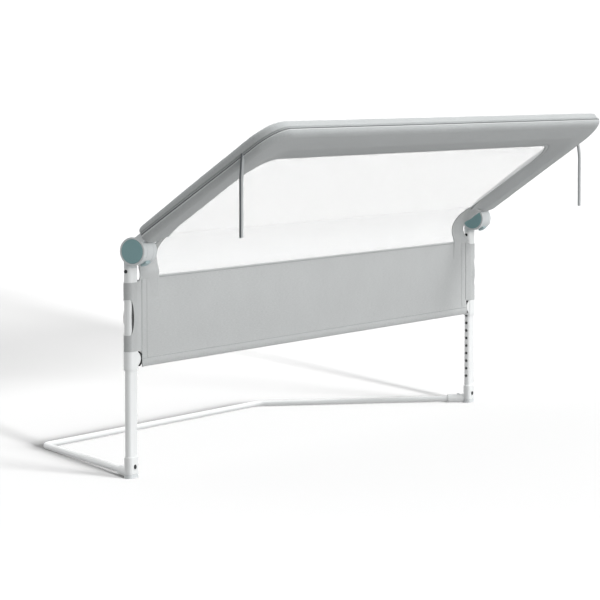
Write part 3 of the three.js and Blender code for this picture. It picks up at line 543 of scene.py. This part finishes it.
def strip_on_skirt(name, places, low, high, half_thick):
    """Folded cloth on both faces of the panel, from one height to another."""
    soft = half_thick * 0.45
    outline = [
        (-half_thick, low + soft), (-half_thick, high - soft), (-soft, high), (soft, high),
        (half_thick, high - soft), (half_thick, low + soft), (soft, low), (-soft, low),
    ]
    rings = []
    for across in places:
        middle = skirt_plane + skirt_ripple(across, (low + high) / 2)
        rings.append([Vector((across, middle + y, z)) for y, z in outline])
    strip = ring_piece(name, rings, sharp=60)
    paint(strip, skirt_cloth)
    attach(strip, "upper_frame")
    return strip


hem_high, hem_half, hem_half_thick = 0.016, skirt_flap - 0.002, 0.0009
top_hem, top_hem_half, top_hem_half_thick = 0.0045, 0.6275, 0.0008
hem_over = 0.0002
bottom_hem = strip_on_skirt("skirt_bottom_hem", mirrored_steps(hem_half, 90),
                            skirt_low.z - hem_over, skirt_low.z + hem_high, hem_half_thick)
upper_hem = strip_on_skirt("skirt_top_hem", mirrored_steps(top_hem_half, 60),
                           skirt_high.z - top_hem, skirt_high.z + hem_over, top_hem_half_thick)

# Net: a fine white warp-knitted net fills the window of the guard and runs on down across the
# hinge line to the top of the skirt. The real net folds there as the guard swings; this piece is
# built in one fixed shape.
net_seam = 0.001
net_half = cover_half - cover_band + net_seam
net_pitch, net_turn, net_relief = 0.0024, 0.96, 0.0002
net_thick, net_sag = 0.0005, 0.0012
fold_end = 0.0324
skirt_top = skirt_high.z


def knitted_net(name, colour, least, most):
    """See-through net: two sets of crossing threads, and its cover in the holes and on the threads."""
    material, tree, shader = new_finish(name, 0.75)
    shader.inputs["Specular IOR Level"].default_value = 0.2
    shader.inputs["Base Color"].default_value = srgb(colour)
    shader.inputs["Subsurface Weight"].default_value = 1.0
    shader.inputs["Subsurface Radius"].default_value = (1.0, 1.0, 1.0)
    shader.inputs["Subsurface Scale"].default_value = 0.002
    place = tree.nodes.new("ShaderNodeUVMap").outputs["UV"]
    masks = []
    for angle in (net_turn, -net_turn):
        turned = add_node(tree, "ShaderNodeMapping", Vector=place, Rotation=(0, 0, angle))
        wave = add_node(tree, "ShaderNodeTexWave", bands_direction="X", Vector=turned.outputs["Vector"],
                        Scale=wave_unit / net_pitch, Distortion=0.0)
        masks.append(ramp(tree, wave.outputs["Fac"], 0.74, 0.96))
    threads = combine(tree, "MAXIMUM", *masks)
    tree.links.new(ramp(tree, threads, 0.0, 1.0, least, most, "LINEAR"), shader.inputs["Alpha"])
    add_bump(tree, shader, threads, net_relief)
    return material


net = knitted_net("white_net", "f1f2f2", 0.05, 0.5)
# The hinge net is the same net coloured greyer, as painted shade, because it stands in more light.
fold_net_shaded = knitted_net("loose_white_net", "a8abab", 0.07, 0.54)
inner_top = cover_reach - cover_band + net_seam
corner_start = inner_top - window_corner


def net_edge(along):
    """Half width of the net at a distance from the hinge axis."""
    above = along - corner_start
    if above <= 0:
        return net_half
    return net_half - window_corner + math.sqrt(max(0.0, window_corner ** 2 - above ** 2))


net_rows = even_steps(fold_end, corner_start, 14)
net_rows += [corner_start + window_corner * math.sin(math.pi / 2 * k / 8) * 0.999 for k in range(1, 9)]
net_rings = []
for along in net_rows:
    row = []
    for across in mirrored_steps(net_edge(along), 48):
        sag = net_sag * noise.noise(Vector((across * 4, along * 9, 3.0)))
        row.append(guard_point(across, net_level + sag * min(1, (along - fold_end) / 0.05), along))
    net_rings.append(row)
net_panel = ring_piece("window_net", net_rings, round_closed=False, ends_closed=False)
paint(net_panel, net)
thicken(net_panel, net_thick)
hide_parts("mesh_panel")
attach(net_panel, "guard")

fold_guides = [Vector((0, post_line + y / 1000, z / 1000)) for y, z in (
    (-3.4, skirt_top * 1000 - 40), (-3.8, skirt_top * 1000 - 20), (-4.5, skirt_top * 1000), (-3.8, 363),
    (-1.2, 371), (0, 380), (-0.8, 389), (-3.2, 396.5), (-7.6, 404.6),
)]
fold_guides += [guard_point(0, net_level, along) for along in (0.007, 0.018, fold_end)]
fold_path = smooth_path(fold_guides, 4)
fold_root = 0.040
fold_travel = travelled(fold_path)
fold_shares = [clamp((travel - fold_root) / (fold_travel[-1] - fold_root)) for travel in fold_travel]
band_gap, band_widest = 0.0283, 0.064
band_outer = post_x - band_gap
band_shares = [0.97, 1.0, 0.99, 0.95, 0.9, 0.86, 0.83, 0.75, 0.66]


def band_edge(share):
    """Where a corner band ends toward the middle, at a share of the way up the fold."""
    place = share * (len(band_shares) - 1)
    before = min(int(place), len(band_shares) - 2)
    between = place - before
    width = band_shares[before] * (1 - between) + band_shares[before + 1] * between
    return band_outer - band_widest * width


fold_overlap, fold_root_fade = 0.01, 0.02
fold_rings = []
for share, travel, point in zip(fold_shares, fold_travel, fold_path):
    if travel < fold_root - fold_overlap:
        continue
    edge = band_edge(share) + 0.003
    rooted = clamp(1 - (point.z - skirt_top) / fold_root_fade)
    row = []
    for across in mirrored_steps(edge, 48):
        ripple = skirt_ripple(across, min(point.z, skirt_top)) * rooted
        row.append(Vector((across, point.y + 0.0008 * rooted + ripple, point.z)))
    fold_rings.append(row)
net_fold = ring_piece("hinge_net", fold_rings, round_closed=False, ends_closed=False)
# The hinge net takes the greyer painted-shade copy of the net.
paint(net_fold, fold_net_shaded)
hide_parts("mesh_fold")
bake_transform(net_fold)

# Corner bands: curved pieces of cloth beside the hinges, which carry the net's ends up from the
# skirt to the arms of the guard. Above the skirt their outer edge rolls away under the arm.
band_root_fade, band_roll, band_thick = 0.022, 0.010, 0.0014
band_trim, band_flare, band_bulge, band_curl, band_tuck = 0.0015, 0.009, 0.0009, 0.0035, 0.0016
roll_from, roll_share, roll_start, roll_width = 0.40, 0.30, 0.652, 0.030
tuck_height, tuck_start, tuck_width = 0.008, 0.655, 0.012
band_columns = 20
for side, mirror in sides:
    band_rings = []
    for k, centre in enumerate(fold_path):
        share = fold_shares[k]
        normal = Vector((1, 0, 0)).cross(heading_at(fold_path, k)).normalized()
        inner_edge = band_edge(share)
        rooted = clamp(1 - (centre.z - skirt_top) / band_root_fade)
        outer_edge = band_outer - band_trim + band_flare * rooted ** 1.5
        row = []
        for column in range(band_columns + 1):
            across = inner_edge + (outer_edge - inner_edge) * column / band_columns
            bulge = band_bulge * math.sin(math.pi * column / band_columns) * math.sin(math.pi * share)
            curl = band_curl * (1 - rooted) * max(0.0, column / band_columns - 0.6) ** 2 / 0.16
            curl *= (1 - share) ** 2
            place = centre + normal * (bulge + 0.0003) + Vector((0, curl, 0))
            place.y += skirt_ripple(mirror * across, min(centre.z, skirt_top)) * rooted
            rolled = clamp((share - roll_from) / roll_share) * clamp((across - roll_start) / roll_width)
            rolled = rolled * rolled * (3 - 2 * rolled) * band_roll
            place -= Vector((0, math.cos(guard_tilt), math.sin(guard_tilt))) * rolled
            under = clamp((skirt_top - centre.z) / tuck_height)
            place.y += band_tuck * (under * clamp((across - tuck_start) / tuck_width))
            row.append(Vector((mirror * across, place.y, place.z)))
        band_rings.append(row)
    band = ring_piece(f"{side}_band_cloth", band_rings, round_closed=False, ends_closed=False)
    paint(band, skirt_cloth)
    thicken(band, band_thick)
    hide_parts(f"{side}_corner_band")
    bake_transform(band)

# Stitching on the skirt and the sleeves: short lockstitches of grey thread along each seam.
thread = two_toned("grey_thread", 0.7, 0.0, 2500.0, "75797a", "989c9d")
stitch_pitch, stitch_length, thread_radius = 0.0032, 0.0022, 0.00032
stitch_row = 0.6692  # how far from the middle the panel's ends are sewn


def stitch_tree():
    """Geometry Nodes: a short round stitch at every pitch along each curve."""
    tree = bpy.data.node_groups.new("stitch_rows", "GeometryNodeTree")
    for way in ("INPUT", "OUTPUT"):
        tree.interface.new_socket("Geometry", in_out=way, socket_type="NodeSocketGeometry")
    rows = tree.nodes.new("NodeGroupInput").outputs["Geometry"]
    points = add_node(tree, "GeometryNodeCurveToPoints", mode="LENGTH", Curve=rows, Length=stitch_pitch)
    stitch = add_node(tree, "GeometryNodeMeshCylinder", Vertices=5, Radius=thread_radius,
                      Depth=stitch_length)
    place = add_node(tree, "GeometryNodeInstanceOnPoints", Points=points.outputs["Points"],
                     Rotation=points.outputs["Rotation"], Instance=stitch.outputs["Mesh"])
    real = add_node(tree, "GeometryNodeRealizeInstances", Geometry=place.outputs["Instances"])
    grey = add_node(tree, "GeometryNodeSetMaterial", Geometry=real.outputs["Geometry"], Material=thread)
    add_node(tree, "NodeGroupOutput", Geometry=grey.outputs["Geometry"])
    return tree


stitches = stitch_tree()


def sew(name, runs):
    """Stitches along runs of points, as one plain mesh."""
    curve = bpy.data.curves.new(name + "_rows", "CURVE")
    curve.dimensions = "3D"
    for run in runs:
        spline = curve.splines.new("POLY")
        spline.points.add(len(run) - 1)
        for point, place in zip(spline.points, run):
            point.co = (*place, 1)
    rows = link_object(name + "_rows", curve)
    rows.modifiers.new("stitches", "NODES").node_group = stitches
    mesh = finished_mesh(rows)
    bpy.data.objects.remove(rows)
    return link_mesh(name, mesh)


skirt_runs = []
hem_top = skirt_low.z + hem_high
rise = skirt_high.z - top_hem - skirt_low.z - hem_high
for face in (-1, 1):
    for height, half in ((hem_top - 0.0015, skirt_half(hem_top) - 0.002),
                         (skirt_high.z - top_hem + 0.001, top_hem_half - 0.001)):
        skirt_runs.append([skirt_place(across, height, face * 0.00095)
                           for across in mirrored_steps(half, 80)])
    for mirror in (-1, 1):
        skirt_runs.append([skirt_place(mirror * stitch_row, hem_top + rise * k / 30, face * 0.0008)
                           for k in range(31)])
skirt_stitches = sew("skirt_stitching", skirt_runs)
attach(skirt_stitches, "upper_frame")
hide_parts("skirt_panel")
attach(skirt, "upper_frame")

# Sleeves: the ends of the skirt's cloth, wrapped round the upper posts and sewn together where they
# meet the panel. Each has a tall rounded cut-out over the outer edge of its post, whose long edges
# stand off the post a little; a dark strip just inside each edge is painted shade in the gap there.
# Dark cloth for the strips of painted shade inside the cut-outs' edges.
shade_strip_cloth = woven("dark_lining", "222526", "363a3b", 0.0008, 0.0001)
sleeve_cloth_thick, sleeve_rise, sleeve_seam_lap = 0.0008, 0.005, 0.0015
cutout_shares = (0.236, 0.754)
cutout_end_reach, cutout_reach, cutout_corner = 0.0073, 0.0155, 0.017
cutout_lift, cutout_lift_fade = 0.0026, 0.008
sleeve_rows, sleeve_columns, shade_strip_rows = 48, 108, 32
shade_strip_show, shade_strip_lap, seam_thread_gap = 0.0021, 0.003, 0.0016


def sleeve_outline(radius, run):
    """The section of a sleeve, as a closed line with +X outward from the rail and its seam behind."""
    turns = [k * math.pi / 24 for k in range(48)]
    circle = [Vector((math.cos(turn), math.sin(turn))) * radius for turn in turns]
    spots = [point + Vector((shift, 0)) for shift in (run, -run) for point in circle]
    spots.append(Vector((skirt_seam - post_x - sleeve_seam_lap, -skirt_forward - 0.0010)))
    line = [spots[k] for k in geometry.convex_hull_2d(spots)]
    first = max(range(len(line)), key=lambda k: line[k].x - abs(line[k].y) * 0.01)
    line = line[first:] + line[:first]
    if line[1].y < line[0].y:
        line = [line[0]] + line[:0:-1]
    return line


def loop_length(line):
    return sum((b - a).length for a, b in zip(line, line[1:] + line[:1]))


def outline_place(line, travel):
    """The point and the outward direction at a distance along a closed line."""
    travel %= loop_length(line)
    for a, b in zip(line, line[1:] + line[:1]):
        step = (b - a).length
        if travel <= step:
            heading = (b - a).normalized()
            return a.lerp(b, travel / step), Vector((heading.y, -heading.x))
        travel -= step
    return line[0], Vector((1, 0))


def cutout_half(height, low, high):
    """Half the width of the cut-out at a height, measured round the post."""
    inside = min(height - low, high - height)
    share = clamp(1 - inside / cutout_corner)
    return cutout_end_reach + (cutout_reach - cutout_end_reach) * math.sqrt(max(0.0, 1 - share * share))


for side, mirror in sides:
    low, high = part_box(f"{side}_skirt_sleeve")
    middle = (low + high) / 2
    post_low, post_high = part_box(f"{side}_upper_post")
    line = sleeve_outline(sleeve_radius, (post_high.x - post_low.x) / 2 + sleeve_gap - sleeve_radius)
    around = loop_length(line)
    cut_low, cut_high = (low.z + share * (high.z - low.z) for share in cutout_shares)

    def sleeve_place(travel, height, proud=0.0):
        """A place on the sleeve's outer face, or so far before it."""
        spot, outward = outline_place(line, travel)
        beside = abs((travel + around / 2) % around - around / 2)
        upright = clamp((height - cut_low) / (cut_high - cut_low))
        lift = cutout_lift * math.sin(math.pi * upright) ** 1.5
        lift *= math.exp(-(max(0.0, beside - cutout_reach) / cutout_lift_fade) ** 2)
        spot = spot + outward * (lift + proud)
        return Vector((middle.x + mirror * spot.x, middle.y + spot.y, height))

    rings = []
    for k in range(sleeve_rows + 1):
        ring = []
        for i in range(sleeve_columns):
            travel = around * i / sleeve_columns
            spot, _ = outline_place(line, travel)
            top = high.z + sleeve_rise * clamp((-0.008 - spot.x) / 0.026)
            height = low.z + (top - low.z) * k / sleeve_rows
            soft = noise.noise(Vector((travel * 90, height * 60, mirror)))
            ring.append(sleeve_place(travel, height, 0.0001 * soft))
        rings.append(ring)
    shell = ring_piece(f"{side}_sleeve_cloth", rings, ends_closed=False)
    thicken(shell, sleeve_cloth_thick, -1)

    rows = 40
    heights = [cut_low + (cut_high - cut_low) * (1 - math.cos(math.pi * k / rows)) / 2
               for k in range(rows + 1)]
    edge_loop = [(cutout_half(height, cut_low, cut_high), height) for height in heights]
    edge_loop += [(-reach, height) for reach, height in reversed(edge_loop)]
    cut_in = [sleeve_place(travel, height, -0.0042) for travel, height in edge_loop]
    cut_out = [sleeve_place(travel, height, 0.004) for travel, height in edge_loop]
    count = len(edge_loop)
    core = Vector((middle.x + mirror * 0.006, middle.y, 0))
    spine_in = [Vector((core.x, core.y, height)) for height in heights]
    spine_out = [Vector((core.x + mirror * 0.03, core.y, height)) for height in heights]
    corners = cut_in + cut_out + spine_in + spine_out
    faces = [(k, (k + 1) % count, (k + 1) % count + count, k + count) for k in range(count)]
    for shift, spine in ((0, 2 * count), (count, 2 * count + rows + 1)):
        for k in range(rows):
            far = count - 1 - k
            faces.append((k + shift, k + 1 + shift, spine + k + 1, spine + k))
            faces.append((far + shift, far - 1 + shift, spine + k + 1, spine + k))
        faces.append((shift, spine, count - 1 + shift))
        faces.append((rows + shift, spine + rows, rows + 1 + shift))
    cutter_mesh = bpy.data.meshes.new("cutter")
    cutter_mesh.from_pydata(corners, [], faces)
    flip_to_outside(cutter_mesh)
    cutter = link_object("cutter", cutter_mesh)
    cut = shell.modifiers.new("cutout", "BOOLEAN")
    cut.operation, cut.object, cut.solver = "DIFFERENCE", cutter, "EXACT"
    mesh = finished_mesh(shell)
    bpy.data.objects.remove(cutter)
    bpy.data.objects.remove(shell)
    mesh.materials.clear()
    mesh.materials.append(skirt_cloth)
    sleeve = link_mesh(f"{side}_sleeve_cloth", mesh, 60)

    # Strips of painted shade just inside each long edge of the cut-out, in the gap to the post.
    sleeve_extras = []
    for label, edge_side in (("front", -1), ("back", 1)):
        rings = []
        for k in range(shade_strip_rows + 1):
            height = cut_low + (cut_high - cut_low) * (0.06 + 0.88 * k / shade_strip_rows)
            reach = cutout_half(height, cut_low, cut_high)
            show = shade_strip_show * math.sin(math.pi * (k + 0.5) / (shade_strip_rows + 1)) ** 0.6
            near, far = edge_side * (reach - show), edge_side * (reach + shade_strip_lap)
            under, deeper = -sleeve_cloth_thick - 0.00005, -sleeve_cloth_thick - 0.0003
            corners = ((near, under), (far, under), (far, deeper), (near, deeper))
            rings.append([sleeve_place(travel, height, proud) for travel, proud in corners])
        shade_strip = ring_piece(f"{side}_cutout_lining_{label}", rings, sharp=60)
        paint(shade_strip, shade_strip_cloth)
        sleeve_extras.append(shade_strip)
    seam_runs = []
    tip = max(range(len(line)), key=lambda k: -line[k].x)
    for toward in (1, -1):
        near = line[(tip + toward) % len(line)] - line[tip]
        spot = line[tip] + near.normalized() * seam_thread_gap
        spot += Vector((near.y, -near.x)).normalized() * toward * 0.0002
        place = (middle.x + mirror * spot.x, middle.y + spot.y)
        foot, rise = low.z + 0.003, high.z - low.z - 0.002
        seam_runs.append([Vector((*place, foot + rise * k / 30)) for k in range(31)])
    seam = sew(f"{side}_sleeve_stitching", seam_runs)
    sleeve_extras.append(seam)
    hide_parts(f"{side}_skirt_sleeve")
    for piece in [sleeve] + sleeve_extras:
        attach(piece, "upper_frame")

# Posts and base bar: steel tube and bar with a smooth white powder coat. The lower posts slide in
# the upper ones and carry the row of height holes in their inner edges.
same_place, same_plane = 2e-6, math.radians(0.6)
edge_angle = 36


def clouded(tree, shader, colour, dim, cloud, grain, relief):
    """A colour that dims a little in wide clouds, and a fine grain in relief, each (scale, detail)."""
    darker = [c * dim for c in colour[:3]] + [1]
    tone = mix_two(tree, object_noise(tree, *cloud), darker, colour)
    tree.links.new(tone, shader.inputs["Base Color"])
    add_bump(tree, shader, object_noise(tree, *grain), relief)


def dress(node, suffix, bevel, finish, slot):
    """A CAD piece with its facets merged into smooth rounds and its edges softened."""
    mesh = frame["nodes"][node].data.copy()
    shell = bmesh.new()
    shell.from_mesh(mesh)
    bmesh.ops.remove_doubles(shell, verts=shell.verts, dist=same_place)
    bmesh.ops.dissolve_limit(shell, angle_limit=same_plane, verts=shell.verts, edges=shell.edges)
    shell.to_mesh(mesh)
    shell.free()
    mesh.materials.clear()
    mesh.materials.append(finish)
    piece = link_mesh(f"{node}_{suffix}", mesh, edge_angle)
    if bevel:
        edge = piece.modifiers.new("edges", "BEVEL")
        edge.width, edge.segments, edge.limit_method = bevel, 2, "ANGLE"
        edge.angle_limit = math.radians(edge_angle)
        edge.miter_outer = "MITER_ARC"
    piece.modifiers.new("shading", "WEIGHTED_NORMAL").keep_sharp = not bevel
    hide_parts(node)
    bodies = frame["record"]["behaviour"]["bodies"]
    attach(piece, next(body for body, nodes in bodies.items() if node in nodes))


def dress_both(*parts):
    for side, _ in sides:
        for part, *how in parts:
            dress(f"{side}_{part}", *how)


white_coat, coat_tree, coat_shader = new_finish("white_powder_coat", 0.38)
coat_shader.inputs["Coat Weight"].default_value = 0.25
coat_shader.inputs["Coat Roughness"].default_value = 0.3
clouded(coat_tree, coat_shader, srgb("e3e5e5"), 0.94, (12.0, 3.0), (700.0, 1.0), 0.00004)
dress("base_bar", "steel", 0.0, white_coat, "coated_steel")
dress_both(
    ("lower_post", "tube", 0.0002, white_coat, "coated_steel"),
    ("upper_post", "tube", 0.0002, white_coat, "coated_steel"),
)

# Brackets, feet and collars: white and pale grey mouldings with a fine spark-eroded grain. The foot
# is pressed into its bracket from below, and a dark screw holds the post.


def moulded(name, colour, roughness, grain=0.00003):
    material, tree, shader = new_finish(name, roughness)
    shader.inputs["Specular IOR Level"].default_value = 0.45
    clouded(tree, shader, srgb(colour), 0.9, (22.0, 2.0), (1400.0, 2.0), grain)
    return material


white_moulding = moulded("white_moulding", "e6e8e8", 0.5)
pale_moulding = moulded("pale_grey_moulding", "d6dadb", 0.5)
dark_screw = two_toned("dark_screw_steel", 0.45, 0.6, 900.0, "1c1e1f", "3a3d3f")
plated = two_toned("plated_steel", 0.3, 0.9, 600.0, "9b9fa1", "c3c6c8")
dress_both(
    ("base_bracket", "moulding", 0.0005, white_moulding, "white_plastic"),
    ("foot_cap", "moulding", 0.0005, pale_moulding, "pale_plastic"),
    ("post_collar", "moulding", 0.0004, white_moulding, "white_plastic"),
    ("bracket_screw", "head", 0.0002, dark_screw, "dark_steel"),
    ("post_rivet", "head", 0.0002, dark_screw, "dark_steel"),
    ("base_snap_button", "pin", 0.0002, plated, "bare_steel"),
)

# Height latches: black mouldings on the inner side of each collar, hooked by a finger and pulled
# toward the middle of the rail to draw their pins out of the height holes.
black_moulding = moulded("black_moulding", "070707", 0.6)
dress_both(("height_latch", "pull", 0.0004, black_moulding, "black_plastic"))

# Hinges: each barrel is the fixed knuckle on its post between two cheeks of the guard's arm, on a
# steel axle, closed at both ends by teal caps. The pale key in the knuckle releases the lock.
cap_teal = moulded("teal_moulding", "83a6a9", 0.5, grain=0.00005)
key_teal = moulded("pale_teal_moulding", "a3b8bb", 0.45)
bare_aluminium = two_toned("mill_aluminium", 0.35, 1.0, 80.0, "b0b3b5", "cfd1d3")
dress("guard_frame_tube", "bent_tube", 0.0, bare_aluminium, "bare_aluminium")
dress_both(
    ("hinge_knuckle", "moulding", 0.0005, pale_moulding, "pale_plastic"),
    ("hinge_arm", "moulding", 0.0006, pale_moulding, "pale_plastic"),
    ("outer_cap", "disc", 0.0009, cap_teal, "teal_plastic"),
    ("inner_cap", "disc", 0.0009, cap_teal, "teal_plastic"),
    ("release_button", "key", 0.0004, key_teal, "pale_teal_plastic"),
    ("hinge_axle", "pin", 0.0002, plated, "bare_steel"),
)

# Studio: a white floor that glows a little more away from the rail, as painted light that pales the
# far shadows on it, an even pale surround that is a little dimmer to the left and below, a key light
# and a soft fill in front, and two low lights for the rail's shadow on the floor.
floor_mesh = bpy.data.meshes.new("studio_floor")
floor_reach, floor_level = 120, -0.0003
quarters = ((-1, -1), (1, -1), (1, 1), (-1, 1))
floor_corners = [(floor_reach * x, floor_reach * y, floor_level) for x, y in quarters]
floor_mesh.from_pydata(floor_corners, [], [(0, 1, 2, 3)])
floor = link_object("studio_floor", floor_mesh)
floor_paint, floor_tree, floor_shader = new_finish("white_floor", 1.0)
floor_shader.inputs["Base Color"].default_value = (0.34, 0.34, 0.34, 1)
floor_shader.inputs["Specular IOR Level"].default_value = 0.0
floor_place = floor_tree.nodes.new("ShaderNodeTexCoord").outputs["Object"]
floor_distance = add_node(floor_tree, "ShaderNodeVectorMath", operation="LENGTH", Vector=floor_place)
# The floor's glow rises with distance from the rail: painted light that pales its shadows far off.
floor_glow = ramp(floor_tree, floor_distance.outputs["Value"], 1.0, 2.5, 0.0, 0.1)
floor_shader.inputs["Emission Color"].default_value = (1, 1, 1, 1)
floor_tree.links.new(floor_glow, floor_shader.inputs["Emission Strength"])
floor_mesh.materials.append(floor_paint)
floor.visible_diffuse = False

surround = bpy.data.worlds.new("studio_surround")
bpy.context.scene.world = surround
surround.use_nodes = True
sky = surround.node_tree
backdrop = sky.nodes["Background"]
bearing = sky.nodes.new("ShaderNodeTexCoord").outputs["Generated"]
parts = add_node(sky, "ShaderNodeSeparateXYZ", Vector=bearing)
sky_level = ramp(sky, parts.outputs["Z"], -0.2, -0.02, 0.58, 1.25)
leftward = ramp(sky, parts.outputs["X"], -0.9, 0.0, 0.47, 1.0)
overhead = ramp(sky, parts.outputs["Z"], 0.25, 0.95, 1.0, 0.72)
for dimmer in (leftward, overhead):
    sky_level = combine(sky, "MULTIPLY", sky_level, dimmer)
sky.links.new(sky_level, backdrop.inputs["Strength"])
backdrop.inputs["Color"].default_value = (1, 1, 1, 1)


def sun(name, turn, lift, strength, softness):
    """A distant light from a bearing round +Z, counted from +X, and a height."""
    lamp = link_object(name, bpy.data.lights.new(name, "SUN"))
    lamp.data.energy = strength
    lamp.data.angle = math.radians(softness)
    turn, lift = math.radians(turn), math.radians(lift)
    flat = math.cos(lift)
    source = Vector((math.cos(turn) * flat, math.sin(turn) * flat, math.sin(lift)))
    lamp.rotation_euler = source.to_track_quat("Z", "Y").to_euler()
    return lamp


key = sun("key_light", 303, 55, 1.7, 18)
fill = sun("front_fill", 265, 12, 0.65, 40)
low_light = sun("low_light", 230, 6.6, 28, 5)
wide_light = sun("wide_low_light", 259, 8.5, 22, 25)
floor_only = bpy.data.collections.new("lit_by_low_lights")
floor_only.objects.link(floor)
for lamp in (low_light, wide_light):
    lamp.light_linking.receiver_collection = floor_only
slender = bpy.data.collections.new("pieces_that_shade_the_wide_light")
for piece in bpy.data.objects:
    low_down = any(word in piece.name for word in ("bracket", "foot_cap"))
    if low_down or piece.name.endswith(("post_tube", "bar_steel")):
        slender.objects.link(piece)
wide_light.light_linking.blocker_collection = slender
all_but_floor = bpy.data.collections.new("lit_by_key_light")
all_but_floor.objects.link(floor)
all_but_floor.collection_objects[0].light_linking.link_state = "EXCLUDE"
for lamp in (key, fill):
    lamp.light_linking.receiver_collection = all_but_floor
bpy.context.scene.view_settings.view_transform = "Standard"
